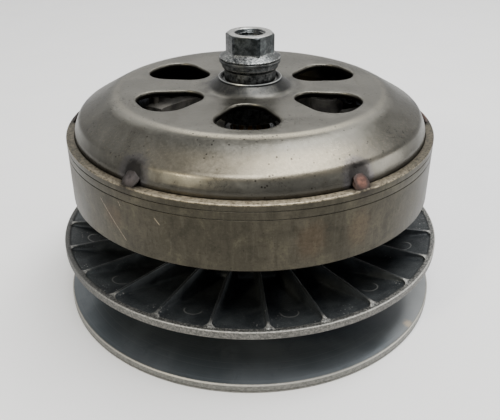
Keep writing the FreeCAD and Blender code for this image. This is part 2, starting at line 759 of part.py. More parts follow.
def damper_rubber():
    x, y = polar(DAMPER_RING_R, DAMPER_ANGLE)
    low = CARRIER_Z + CARRIER_THICK
    high = DAMPER_TOP - DAMPER_CAP
    return column(DAMPER_R, low, high, x, y).cut(column(DAMPER_POST_R, low, high, x, y))


def clutch_carrier():
    """Pressed plate with a raised cup, two driving flats in its bore, and six windows."""
    top = SEAT_Z + CARRIER_THICK
    plate = pressing([
        (CARRIER_MIDDLE_R, SEAT_Z),
        (CARRIER_CUP_TOP_R, SEAT_Z, CARRIER_BEND),
        (CARRIER_CUP_R, CARRIER_Z, CARRIER_BEND + CARRIER_THICK),
        (CARRIER_R, CARRIER_Z),
    ], CARRIER_THICK)
    middle = column(CARRIER_MIDDLE_R, SEAT_Z, top)
    flats = Part.makeBox(4 * THREAD_R, 2 * FLAT_HALF, CARRIER_THICK,
                         FreeCAD.Vector(-2 * THREAD_R, -FLAT_HALF, SEAT_Z))
    bore = column(THREAD_R, SEAT_Z, top).common(flats)
    x, y = polar(CARRIER_WINDOW_R, DAMPER_ANGLE + 180.0 / (2 * SHOES))
    window = column(CARRIER_WINDOW_HALF, CARRIER_Z - PAST, CARRIER_Z + CARRIER_THICK + PAST, x, y)
    windows = around(window, 2 * SHOES, shoe_turn(0))
    pins = around(pivot_pin(), SHOES, shoe_turn(0))
    posts = around(damper_post(), SHOES, shoe_turn(0))
    return plate.fuse(middle).cut([bore] + windows + pins + posts).removeSplitter()


def carrier_nut():
    low = SEAT_Z + CARRIER_THICK
    high = low + CARRIER_NUT_TALL
    corner = CARRIER_NUT_FLATS / math.sqrt(3)
    inwards, down = CARRIER_NUT_BEVEL
    crown = revolved([
        (0.0, low),
        (corner, low),
        (corner, high - down),
        (corner - inwards, high),
        (0.0, high),
    ])
    return hexagon(CARRIER_NUT_FLATS, low, high).common(crown).cut(column(THREAD_R, low, high))


def shoe_turn(index):
    return from_front(SHOE_FIRST) + 360.0 * index / SHOES


def clutch_shoe(index):
    body = sector(SHOE_IN, SHOE_OUT, SHOE_Z, SHOE_TOP, 0.0, SHOE_SPAN)
    weight = sector(SHOE_WEIGHT_IN, SHOE_OUT, SHOE_Z, SHOE_TOP, SHOE_WEIGHT_FROM, SHOE_SPAN)
    boss = column(PIVOT_BOSS_R, SHOE_Z, SHOE_TOP, PIVOT_R)
    lug = column(HOOK_LUG_R, SHOE_TOP, HOOK_TOP, *polar(HOOK_RING_R, HOOK_ANGLE))
    body = body.fuse([weight, boss, lug])
    low = SHOE_Z - PAST
    high = SHOE_TOP + PAST
    hole = column(PIVOT_PIN_R + PIVOT_PLAY, low, high, PIVOT_R)
    ends = []
    for radius in (DAMPER_RING_R - DAMPER_PLAY, DAMPER_RING_R):
        x, y = polar(radius, DAMPER_ANGLE)
        ends.append(column(DAMPER_R + DAMPER_PLAY, low, high, x, y))
    wall_in, wall_out = SHOE_RECESS_WALL
    recess = sector(SHOE_IN + wall_in, SHOE_OUT - wall_out, SHOE_TOP - SHOE_RECESS_DEPTH, high, *SHOE_RECESS)
    return turned(body.cut([hole, recess] + ends).removeSplitter(), shoe_turn(index))


def shoe_lining(index):
    piece = sector(SHOE_OUT, LINING_OUT, SHOE_Z + LINING_MARGIN, SHOE_TOP - LINING_MARGIN,
                   LINING_FROM, LINING_TO)
    return turned(piece, shoe_turn(index))


def shoe_spring(index):
    """Return spring from the shoe's lug to the next pivot pin: two loops, two arms and a coil."""
    start = FreeCAD.Vector(*polar(HOOK_RING_R, HOOK_ANGLE), HOOK_Z)
    end = FreeCAD.Vector(*polar(PIVOT_R, 360.0 / SHOES), HOOK_Z)
    run = end - start
    way = FreeCAD.Vector(run).normalize()
    small = HOOK_LUG_R + HOOK_PLAY + HOOK_WIRE / 2
    large = PIVOT_PIN_R + HOOK_PLAY + HOOK_WIRE / 2
    small_loop = Part.makeTorus(small, HOOK_WIRE / 2, start)
    large_loop = Part.makeTorus(large, HOOK_WIRE / 2, end)
    arm = Part.makeCylinder(HOOK_WIRE / 2, run.Length - small - large, start + way * small, way)
    coil_start = start + way * ((run.Length - COIL_LONG + small - large) / 2)
    coil = Part.makeCylinder(COIL_OUT, COIL_LONG, coil_start, way)
    hollow = Part.makeCylinder(COIL_IN, COIL_LONG - 2 * HOOK_WIRE, coil_start + way * HOOK_WIRE, way)
    body = coil.cut(hollow).fuse([arm, small_loop, large_loop])
    return turned(body, shoe_turn(index))


# --- clutch bell -----------------------------------------------------------------------------------------
def drum_ring():
    points = [
        (DRUM_IN, DRUM_Z + EDGE),
        (DRUM_IN + EDGE, DRUM_Z),
        (DRUM_R - EDGE, DRUM_Z),
        (DRUM_R, DRUM_Z + EDGE),
    ]
    for middle in DRUM_GROOVES:
        points += [
            (DRUM_R, middle - DRUM_GROOVE_HALF),
            (DRUM_R - DRUM_GROOVE_DEPTH, middle),
            (DRUM_R, middle + DRUM_GROOVE_HALF),
        ]
    points += [
        (DRUM_R, DRUM_TOP - EDGE),
        (DRUM_R - EDGE, DRUM_TOP),
        (DRUM_SEAT_R, DRUM_TOP),
        (DRUM_SEAT_R, DRUM_SEAT_Z),
        (DRUM_IN, DRUM_SEAT_Z),
    ]
    return revolved(points)


def tangent_ends(first, first_r, second, second_r, side):
    """Where the outer tangent of two circles touches them."""
    run = second - first
    along = math.atan2(run.y, run.x)
    lean = math.acos((first_r - second_r) / run.Length)
    way = FreeCAD.Vector(math.cos(along + side * lean), math.sin(along + side * lean), 0)
    return first + way * first_r, second + way * second_r


def vent_cutter():
    """Rounded shield on +X: a round inner tip, straight flanks and an outer arc about the axis."""
    tip = FreeCAD.Vector(VENT_TIP_RING_R, 0, 0)
    ring_r = VENT_OUTER_R - VENT_CORNER_R
    upper = FreeCAD.Vector(*polar(ring_r, VENT_CORNER_ANGLE), 0)
    lower = FreeCAD.Vector(*polar(ring_r, -VENT_CORNER_ANGLE), 0)
    tip_up, flank_up = tangent_ends(tip, VENT_TIP_R, upper, VENT_CORNER_R, 1)
    tip_low, flank_low = tangent_ends(tip, VENT_TIP_R, lower, VENT_CORNER_R, -1)
    arc_up = FreeCAD.Vector(*polar(VENT_OUTER_R, VENT_CORNER_ANGLE), 0)
    arc_low = FreeCAD.Vector(*polar(VENT_OUTER_R, -VENT_CORNER_ANGLE), 0)
    half_way = 50.0
    corner_mid_up = upper + FreeCAD.Vector(*polar(VENT_CORNER_R, half_way), 0)
    corner_mid_low = lower + FreeCAD.Vector(*polar(VENT_CORNER_R, -half_way), 0)
    edges = [
        Part.Arc(tip_up, tip - FreeCAD.Vector(VENT_TIP_R, 0, 0), tip_low).toShape(),
        Part.LineSegment(tip_low, flank_low).toShape(),
        Part.Arc(flank_low, corner_mid_low, arc_low).toShape(),
        Part.Arc(arc_low, FreeCAD.Vector(VENT_OUTER_R, 0, 0), arc_up).toShape(),
        Part.Arc(arc_up, corner_mid_up, flank_up).toShape(),
        Part.LineSegment(flank_up, tip_up).toShape(),
    ]
    face = Part.Face(Part.Wire(edges))
    face.translate(FreeCAD.Vector(0, 0, PLATE_TOP - 2 * PLATE_THICK))
    return face.extrude(FreeCAD.Vector(0, 0, 3 * PLATE_THICK))


def bell_dome_plate():
    plate = pressing(PLATE_PATH, PLATE_THICK)
    vents = around(vent_cutter(), VENTS, from_front(VENT_START))
    return plate.cut(vents + [column(PLATE_BORE_R, DRUM_Z, NUT_TOP)])


def weld_bead(angle):
    """Lens-shaped bead across the seam between the plate's shoulder and the ring's top."""
    bead = Part.makeSphere(1.0)
    scale = FreeCAD.Matrix()
    scale.scale(*WELD_SIZE)
    bead = bead.transformGeometry(scale)
    bead.rotate(ORIGIN, FreeCAD.Vector(0, 1, 0), WELD_LEAN)
    bead.translate(FreeCAD.Vector(WELD_RING_R, 0, WELD_Z))
    return turned(bead, from_front(angle))


def bell_welds(plate, ring_body):
    between = VENT_START + 180.0 / VENTS
    below = column(DRUM_R + PAST, DRUM_Z, DRUM_TOP)
    core = column(DRUM_SEAT_R - PLATE_THICK, DRUM_Z, PLATE_TOP)
    beads = []
    for i, slip in enumerate(WELD_SLIPS):
        bead = weld_bead(between + 360.0 * i / VENTS + slip)
        rest = bead.cut([plate, ring_body, below, core])
        beads.append(max(rest.Solids, key=lambda solid: solid.Volume))
    return beads


def bell_hub():
    body = revolved(list(BELL_HUB_PATH) + [
        (SPLINE_MINOR_R, BELL_HUB_TOP),
        (SPLINE_MINOR_R, BELL_HUB_FOOT + PILOT_LONG),
        (SHAFT_R, BELL_HUB_FOOT + PILOT_LONG),
    ])
    low = BELL_HUB_FOOT + PILOT_LONG
    wide = 2 * math.pi * SPLINE_MINOR_R / SPLINES / 2
    slot = Part.makeBox(SPLINE_MAJOR_R, wide, BELL_HUB_TOP - low, FreeCAD.Vector(0, -wide / 2, low))
    reach = column(SPLINE_MAJOR_R, low, BELL_HUB_TOP)
    return body.cut(Part.makeCompound(around(slot, SPLINES)).common(reach))


def nut_washer():
    return revolved([
        (WASHER_BORE_R, BELL_HUB_TOP),
        (WASHER_R, BELL_HUB_TOP, EDGE),
        (WASHER_R, WASHER_TOP, EDGE),
        (WASHER_BORE_R, WASHER_TOP),
    ])


def clutch_nut():
    flange = revolved([
        (0.0, WASHER_TOP),
        (WASHER_R, WASHER_TOP, EDGE),
        (WASHER_R, NUT_FLANGE_TOP, EDGE),
        (NUT_FLATS / 2, NUT_CONE_TOP),
        (0.0, NUT_CONE_TOP),
    ])
    crown = revolved([
        (0.0, NUT_FLANGE_TOP),
        (NUT_CORNER_R, NUT_FLANGE_TOP),
        (NUT_CORNER_R, NUT_TOP - NUT_CROWN),
        (NUT_CROWN_R, NUT_TOP),
        (0.0, NUT_TOP),
    ])
    head = hexagon(NUT_FLATS, NUT_FLANGE_TOP, NUT_TOP).common(crown)
    body = flange.fuse(turned(head, from_front(NUT_TURN)))
    sink = NUT_SINK_R - NUT_BORE_R
    bore = revolved([
        (0.0, WASHER_TOP),
        (NUT_SINK_R, WASHER_TOP),
        (NUT_BORE_R, WASHER_TOP + sink),
        (NUT_BORE_R, NUT_TOP - sink),
        (NUT_SINK_R, NUT_TOP),
        (0.0, NUT_TOP),
    ])
    return body.cut(bore)


# --- write every node ------------------------------------------------------------------------------------
def save(name, shape):
    solids = shape if isinstance(shape, list) else shape.Solids
    body = solids[0] if len(solids) == 1 else Part.makeCompound(solids)
    body.exportStep(os.path.join("parts", name + ".step"))


def build():
    os.makedirs("parts", exist_ok=True)
    save("fixed_sheave", fixed_sheave())
    save("sheave_rivets", around(rivet(), RIVETS))
    save("driven_hub", driven_hub())
    save("ball_bearing_outer_ring", ball_bearing_outer_ring())
    save("ball_bearing_inner_ring", ball_bearing_inner_ring())
    save("ball_bearing_seals", bearing_seal_seats())
    save("ball_bearing_balls", around(ball(), BALLS))
    save("ball_bearing_cage", ball_cage())
    save("bearing_circlip", bearing_circlip())
    save("needle_bearing_cup", needle_cup())
    save("needle_bearing_rollers", around(needle(), NEEDLES))
    save("needle_bearing_cage", needle_cage())

    save("guide_pins", around(cam_pin(), CAM_PINS, from_front(0)))
    for i, roller in enumerate(around(guide_roller(), CAM_PINS, from_front(0))):
        save("guide_roller_" + str(i + 1), roller)
    save("cam_tube", cam_tube())
    save("o_rings", [o_ring(O_RING_LOW), o_ring(O_RING_HIGH)])
    save("lip_seals", [lip_seal(MOVING_FLAT_Z), lip_seal(TUBE_TOP - LIP_SEAL_TALL)])
    save("seal_collar", seal_collar())
    save("movable_sheave", movable_sheave())
    save("spring_seat", spring_seat())
    save("main_spring", main_spring())

    save("clutch_carrier", clutch_carrier())
    save("carrier_nut", carrier_nut())
    save("shoe_pivot_pins", around(pivot_pin(), SHOES, shoe_turn(0)))
    save("pin_clips", around(pin_clip(), SHOES, shoe_turn(0)))
    save("damper_posts", around(damper_post(), SHOES, shoe_turn(0)))
    save("damper_rubbers", around(damper_rubber(), SHOES, shoe_turn(0)))
    for i in range(SHOES):
        number = str(i + 1)
        save("clutch_shoe_" + number, clutch_shoe(i))
        save("shoe_lining_" + number, shoe_lining(i))
        save("shoe_spring_" + number, shoe_spring(i))

    plate = bell_dome_plate()
    ring_body = drum_ring()
    save("bell_drum_ring", ring_body)
    save("bell_dome_plate", plate)
    save("bell_welds", bell_welds(plate, ring_body))
    save("bell_hub", bell_hub())
    save("nut_washer", nut_washer())
    save("clutch_nut", clutch_nut())


build()
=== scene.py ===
import json
import math

import bmesh
import bpy
import numpy as np
from mathutils import Matrix, Vector, noise


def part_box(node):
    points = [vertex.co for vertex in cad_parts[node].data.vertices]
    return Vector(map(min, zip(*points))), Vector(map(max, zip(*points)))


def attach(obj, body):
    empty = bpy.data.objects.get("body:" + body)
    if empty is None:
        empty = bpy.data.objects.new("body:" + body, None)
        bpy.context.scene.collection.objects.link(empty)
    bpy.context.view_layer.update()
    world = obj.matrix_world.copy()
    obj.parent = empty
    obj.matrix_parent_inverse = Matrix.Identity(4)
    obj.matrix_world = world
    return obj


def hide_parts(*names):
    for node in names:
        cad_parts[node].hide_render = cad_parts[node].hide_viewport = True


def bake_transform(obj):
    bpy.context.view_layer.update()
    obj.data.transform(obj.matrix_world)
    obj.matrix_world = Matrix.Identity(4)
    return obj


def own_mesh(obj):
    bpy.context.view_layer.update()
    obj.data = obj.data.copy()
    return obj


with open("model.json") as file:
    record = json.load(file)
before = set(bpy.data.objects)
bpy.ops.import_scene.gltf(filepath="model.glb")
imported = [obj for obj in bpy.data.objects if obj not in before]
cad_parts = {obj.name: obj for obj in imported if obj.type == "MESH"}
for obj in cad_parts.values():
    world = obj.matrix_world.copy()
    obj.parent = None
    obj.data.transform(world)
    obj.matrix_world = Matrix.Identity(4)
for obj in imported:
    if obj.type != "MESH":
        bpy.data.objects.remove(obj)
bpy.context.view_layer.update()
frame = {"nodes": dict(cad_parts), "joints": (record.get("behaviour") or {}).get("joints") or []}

# A scooter's driven pulley with its centrifugal clutch and bell. Lengths are millimetres until a
# mesh is made, and an angle "from the front" turns from -Y towards +X.
MM = 0.001


# --- places taken from the frame ---
def reach(node):
    """Largest radius, lowest height and highest height of a round CAD node."""
    low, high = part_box(node)
    return high.x / MM, low.z / MM, high.z / MM


def joint(name):
    """A joint's row in the record."""
    return next(row for row in frame["joints"] if row["name"] == name)


SHEAVE_SLOPE = math.tan(math.radians(14))
FIXED_R, FIXED_FOOT_Z, FIXED_FLAT_Z = reach("fixed_sheave")
MOVING_R, MOVING_FLAT_Z, RIB_TOP = reach("movable_sheave")
DRUM_R, DRUM_Z, DRUM_TOP = reach("bell_drum_ring")
PLATE_R, PLATE_FOOT_Z, PLATE_LIP_Z = reach("bell_dome_plate")
WASHER_R, WASHER_Z, WASHER_TOP = reach("nut_washer")
NUT_TOP = reach("clutch_nut")[2]
SPRING_OUT, SPRING_FOOT, SPRING_TOP = reach("main_spring")

PLATE_THICK = 2.6
PLATE_TOP = PLATE_LIP_Z - 4.5
DOME_PATH = (                                # outer face: radius, height, rounding
    (PLATE_R, PLATE_FOOT_Z),
    (PLATE_R, PLATE_FOOT_Z + 6, 6),
    (PLATE_R - 2.4, PLATE_TOP - 8.4, 4.2),
    (PLATE_R - 17.1, PLATE_TOP, 16),
    (18.2, PLATE_TOP, 5),
    (13.8, PLATE_LIP_Z - 0.85, 0.8),
    (13.36, PLATE_LIP_Z),
)
PLATE_BORE_R = 12.25
VENTS = 6
VENT_START = -1.5
VENT_CENTRE_R = 37.5
VENT_TIP_R = 8.2
VENT_TIP_RING_R = 31
VENT_CORNER_R = 9.8
VENT_CORNER_ANGLE = 3.8
VENT_OUTER_R = 50.2
WELD_SLIPS = (2.6, 0.8, -1.1, 0.6, 1.2, -2.6)
RIBS = 24
RIB_START = 4.7
RIB_HALF = 0.6
RIB_DRAFT = 0.07
POCKET_WALL_IN = 34.6
POCKET_WALL_OUT = 37


def polar(radius, angle):
    turn = math.radians(angle)
    return radius * math.cos(turn), radius * math.sin(turn)


def from_front(angle):
    return angle - 90


# --- outlines ---
def rounded(corners, step=9):
    """Points along a path through the corners; a third number rounds that corner."""
    points = [np.array(corner[:2], float) for corner in corners]
    path = []
    for i, corner in enumerate(corners):
        if len(corner) < 3:
            path.append(tuple(points[i]))
            continue
        back = points[i - 1] - points[i]
        ahead = points[(i + 1) % len(points)] - points[i]
        back /= np.linalg.norm(back)
        ahead /= np.linalg.norm(ahead)
        half = math.acos(back.dot(ahead)) / 2
        towards = (back + ahead) / np.linalg.norm(back + ahead)
        centre = points[i] + towards * corner[2] / math.sin(half)
        start = points[i] + back * corner[2] / math.tan(half) - centre
        end = points[i] + ahead * corner[2] / math.tan(half) - centre
        sweep = math.pi - 2 * half
        pieces = max(2, math.ceil(math.degrees(sweep) / step))
        for k in range(pieces + 1):
            share = k / pieces
            mixed = start * math.sin((1 - share) * sweep) + end * math.sin(share * sweep)
            path.append(tuple(centre + mixed / math.sin(sweep)))
    return path


def beside(corners, thickness):
    """The same path a sheet's thickness to its left, with its roundings to match."""
    points = [Vector(corner[:2]) for corner in corners]
    steps = [(b - a).normalized() for a, b in zip(points, points[1:])]
    sides = [Vector((-step.y, step.x)) for step in steps]
    other = []
    for i, point in enumerate(points):
        before = sides[max(i - 1, 0)]
        after = sides[min(i, len(sides) - 1)]
        moved = point + (before + after) * (thickness / (1 + before.dot(after)))
        if len(corners[i]) < 3:
            other.append(tuple(moved))
            continue
        left = steps[i - 1].cross(steps[i]) > 0
        other.append((*moved, max(corners[i][2] + (-thickness if left else thickness), 0.2)))
    return other


# --- meshes ---
def new_piece(name, points, faces, sharp=32):
    """Mesh object from points in millimetres, smooth except where faces meet at more than sharp."""
    mesh = bpy.data.meshes.new(name)
    mesh.from_pydata([tuple(value * MM for value in point) for point in points], [], faces)
    work = bmesh.new()
    work.from_mesh(mesh)
    bmesh.ops.remove_doubles(work, verts=work.verts, dist=1e-7)
    bmesh.ops.recalc_face_normals(work, faces=work.faces)
    work.to_mesh(mesh)
    work.free()
    mesh.polygons.foreach_set("use_smooth", [True] * len(mesh.polygons))
    mesh.set_sharp_from_angle(angle=math.radians(sharp))
    piece = bpy.data.objects.new(name, mesh)
    bpy.context.scene.collection.objects.link(piece)
    return piece


def skin(rings, closed=True):
    """Points and quads of a skin through rings of points that each close on themselves."""
    count = len(rings[0])
    points = [point for ring in rings for point in ring]
    faces = []
    for j in range(len(rings) if closed else len(rings) - 1):
        low = j * count
        high = (j + 1) % len(rings) * count
        for k in range(count):
            after = (k + 1) % count
            faces.append((low + k, low + after, high + after, high + k))
    return points, faces


def circle(radius, height, segments, start=0):
    ring = []
    for k in range(segments):
        ring.append((*polar(radius, start + 360 * k / segments), height))
    return ring


def lathe(name, corners, segments):
    rings = [circle(r, z, segments) for r, z in rounded(corners)]
    return new_piece(name, *skin(rings))


def wire(spine, radius, sides):
    """Points and faces of a round wire along a spine, with flat ends."""
    spine = [Vector(point) for point in spine]
    normal = Vector((0, 0, 1))
    rings = []
    for i, point in enumerate(spine):
        way = (spine[min(i + 1, len(spine) - 1)] - spine[max(i - 1, 0)]).normalized()
        normal = (normal - way * normal.dot(way)).normalized()
        side = way.cross(normal)
        ring = []
        for k in range(sides):
            turn = 2 * math.pi * k / sides
            ring.append(tuple(point + (normal * math.cos(turn) + side * math.sin(turn)) * radius))
        rings.append(ring)
    points, faces = skin(rings, closed=False)
    faces.append(tuple(range(sides)))
    faces.append(tuple(range(len(points) - sides, len(points))))
    return points, faces


# --- domed plate ---
SHOULDER_CELLS = 40
NECK_CELLS = 16
FLANK_CELLS = 20


def vent_outline(grow):
    """Outline of a vent on +X, grown all round, as angle and distance from the vent's centre."""
    ring_r = VENT_OUTER_R - VENT_CORNER_R
    corner = Vector(polar(ring_r, VENT_CORNER_ANGLE))
    run = corner - Vector((VENT_TIP_RING_R, 0))
    tangent = math.acos((VENT_TIP_R - VENT_CORNER_R) / run.length)
    lean = math.degrees(math.atan2(run.y, run.x) + tangent)
    arcs = (
        ((0, 0), VENT_OUTER_R, -VENT_CORNER_ANGLE, VENT_CORNER_ANGLE),
        (tuple(corner), VENT_CORNER_R, VENT_CORNER_ANGLE, lean),
        ((VENT_TIP_RING_R, 0), VENT_TIP_R, lean, 360 - lean),
        ((corner.x, -corner.y), VENT_CORNER_R, 360 - lean, 360 - VENT_CORNER_ANGLE),
    )
    outline = []
    for (x, y), radius, start, end in arcs:
        for angle in np.linspace(start, end, 24):
            dx, dy = polar(radius + grow, angle)
            outline.append((x + dx, y + dy))
    outline.append(outline[0])
    outline = np.array(outline) - (VENT_CENTRE_R, 0)
    dense = []
    for a, b in zip(outline, outline[1:]):
        dense += [a + (b - a) * share for share in np.linspace(0, 1, 24, endpoint=False)]
    dense = np.array(dense)
    return np.arctan2(dense[:, 1], dense[:, 0]), np.hypot(dense[:, 0], dense[:, 1])


def cell_border(inner, outer):
    """Border of one vent's sixth of the flat top, anticlockwise from its outer corner."""
    half = 180 / VENTS
    border = [polar(outer, a) for a in np.linspace(-half, half, SHOULDER_CELLS, endpoint=False)]
    border += [polar(r, half) for r in np.linspace(outer, inner, FLANK_CELLS, endpoint=False)]
    border += [polar(inner, a) for a in np.linspace(half, -half, NECK_CELLS, endpoint=False)]
    border += [polar(r, -half) for r in np.linspace(inner, outer, FLANK_CELLS, endpoint=False)]
    return np.array(border)


def vent_ring(border, grow, height):
    """The vent's grown outline, with one point in line with each point of the border."""
    angles, distances = vent_outline(grow)
    order = np.argsort(angles)
    ways = border - np.array([VENT_CENTRE_R, 0])
    turns = np.arctan2(ways[:, 1], ways[:, 0])
    found = np.interp(turns, angles[order], distances[order], period=2 * math.pi)
    ring = []
    for turn, away in zip(turns, found):
        ring.append((VENT_CENTRE_R + away * math.cos(turn), away * math.sin(turn), height))
    return ring


def between(first, second, share):
    return [tuple(np.array(a) * (1 - share) + np.array(b) * share) for a, b in zip(first, second)]


def vent_cell(top_border, low_border, top, low):
    """Top face, vent wall with rounded edges, and under face of one sixth of the flat top."""
    upper, under = 0.7, 0.4
    first = [(x, y, top) for x, y in top_border]
    last = [(x, y, low) for x, y in low_border]
    edge = vent_ring(top_border, upper, top)
    rings = [between(first, edge, share) for share in (0, 0.3, 0.6, 0.85)]
    for angle in np.linspace(0, math.pi / 2, 5):
        drop = upper * (1 - math.cos(angle))
        rings.append(vent_ring(top_border, upper * (1 - math.sin(angle)), top - drop))
    for angle in np.linspace(math.pi / 2, 0, 4):
        lift = under * (1 - math.cos(angle))
        rings.append(vent_ring(low_border, under * (1 - math.sin(angle)), low + lift))
    wall = vent_ring(low_border, under, low)
    rings += [between(wall, last, share) for share in (0.3, 0.65, 1)]
    return skin(rings, closed=False)


def dome_shell():
    outer = rounded(DOME_PATH, step=4)
    inner = rounded(beside(DOME_PATH, PLATE_THICK), step=5)
    low = PLATE_TOP - PLATE_THICK

    def split(path, height):
        flat = [i for i, (r, z) in enumerate(path) if abs(z - height) < 1e-6]
        run = max(zip(flat, flat[1:]), key=lambda pair: path[pair[0]][0] - path[pair[1]][0])
        return path[:run[0] + 1], path[run[1]:]

    shoulder, neck = split(outer, PLATE_TOP)
    shoulder_in, neck_in = split(inner, low)
    neck_in = [(r, z) for r, z in neck_in if r > PLATE_BORE_R + 0.05]
    start = from_front(VENT_START) - 180 / VENTS
    points, faces = [], []

    def gather(part):
        base = len(points)
        points.extend(part[0])
        faces.extend(tuple(base + k for k in face) for face in part[1])

    edge = shoulder_in[::-1] + shoulder
    gather(skin([circle(r, z, SHOULDER_CELLS * VENTS, start) for r, z in edge], closed=False))
    lip = [(PLATE_BORE_R + 0.3, PLATE_LIP_Z), (PLATE_BORE_R, PLATE_LIP_Z - 0.3)]
    lip.append((PLATE_BORE_R, neck_in[-1][1]))
    edge = neck + lip + neck_in[::-1]
    gather(skin([circle(r, z, NECK_CELLS * VENTS, start) for r, z in edge], closed=False))
    cell, quads = vent_cell(cell_border(neck[0][0], shoulder[-1][0]),
                            cell_border(neck_in[0][0], shoulder_in[-1][0]), PLATE_TOP, low)
    for i in range(VENTS):
        turn = Matrix.Rotation(math.radians(from_front(VENT_START) + 360 * i / VENTS), 3, "Z")
        gather(([tuple(turn @ Vector(point)) for point in cell], quads))
    return new_piece("dome_shell", points, faces)


# --- drum ring and welds ---
GROOVE_DROPS = (6.11, 2.79)                  # turned lines, below the drum's top
GROOVE_HALF = 0.24
GROOVE_FLOOR = 0.06
GROOVE_DEPTH = 0.2
WELD_R, WELD_Z = PLATE_R + 0.6, DRUM_TOP + 1.5
WELD_SIZE = (4, 3.3, 1.1)                  # half of: across the ledge, along it, thick
WELD_LEAN = 50
HEAT_R, HEAT_Z = PLATE_R - 0.6, DRUM_TOP + 3.4


def drum_wall():
    seat_r = PLATE_R + 0.2
    inner_r = PLATE_R - 0.3
    corners = [
        (inner_r, DRUM_Z + 0.6, 0.3),
        (inner_r + 0.6, DRUM_Z, 0.3),
        (DRUM_R - 0.7, DRUM_Z, 0.35),
        (DRUM_R, DRUM_Z + 0.7, 0.35),
    ]
    for drop in GROOVE_DROPS:
        middle = DRUM_TOP - drop
        corners += [
            (DRUM_R, middle - GROOVE_HALF, 0.06),
            (DRUM_R - GROOVE_DEPTH, middle - GROOVE_FLOOR),
            (DRUM_R - GROOVE_DEPTH, middle + GROOVE_FLOOR),
            (DRUM_R, middle + GROOVE_HALF, 0.06),
        ]
    corners += [
        (DRUM_R, DRUM_TOP, 0.4),
        (seat_r, DRUM_TOP, 0.2),
        (seat_r, PLATE_FOOT_Z),
        (inner_r, PLATE_FOOT_Z),
    ]
    return lathe("drum_wall", corners, 288)


def weld_places(radius, height):
    """One place for each bead, at this radius and height."""
    places = []
    for i, slip in enumerate(WELD_SLIPS):
        angle = VENT_START + 180 / VENTS + 360 * i / VENTS + slip
        places.append((*polar(radius, from_front(angle)), height))
    return places


def weld_bead(place, seed):
    """Flat lumpy bead that bridges the ledge and the shoulder."""
    columns, rows = 32, 16
    lean = Matrix.Rotation(math.radians(WELD_LEAN), 3, "Y")
    turn = Matrix.Rotation(math.atan2(place[1], place[0]), 3, "Z")
    middle = Vector(place)
    rings = []
    for j in range(1, rows):
        fall = math.pi * j / rows
        ring = []
        for k in range(columns):
            around = 2 * math.pi * k / columns
            wide = math.sin(fall)
            way = Vector((wide * math.cos(around), wide * math.sin(around), math.cos(fall)))
            lump = 1 + 0.22 * noise.noise(way * 1.7 + Vector((seed * 7.3, 0, 0)))
            lump += 0.08 * noise.noise(way * 4 + Vector((0, seed * 3.1, 0)))
            local = Vector([a * b for a, b in zip(way, WELD_SIZE)]) * lump
            ring.append(tuple(middle + turn @ (lean @ local)))
        rings.append(ring)
    points, faces = skin(rings, closed=False)
    faces.append(tuple(range(columns)))
    faces.append(tuple(range(len(points) - columns, len(points))))
    return points, faces


def weld_beads():
    points, faces = [], []
    for i, place in enumerate(weld_places(WELD_R, WELD_Z)):
        part = weld_bead(place, i + 1)
        base = len(points)
        points += part[0]
        faces += [tuple(base + k for k in face) for face in part[1]]
    return new_piece("weld_beads", points, faces, sharp=80)


# --- nut and washer ---
NUT_FLAT_R = 9.3
NUT_CORNER_R = 10.3
NUT_CORNER_SOFT = 0.06
NUT_TURN = 20
NUT_SEGMENTS = 240
NUT_CHAMFER = 0.9
FLANGE_THICK = 0.9
CONE_RISE, CONE_RUN = 1.7, 3.5
THREAD_R = 5.4
THREAD_DEPTH = 0.62
THREAD_PITCH = 1.25
SINK_R = 6.6


def hex_radius(angle):
    """Radius of the hexagon at an angle from one of its corners, with the corners rounded off."""
    from_flat = (angle + 60) % 60 - 30
    sharp = NUT_FLAT_R / math.cos(math.radians(from_flat))
    full = NUT_CORNER_R - NUT_CORNER_SOFT
    if sharp < full:
        return sharp
    return full + NUT_CORNER_SOFT * (1 - math.exp((full - sharp) / NUT_CORNER_SOFT))


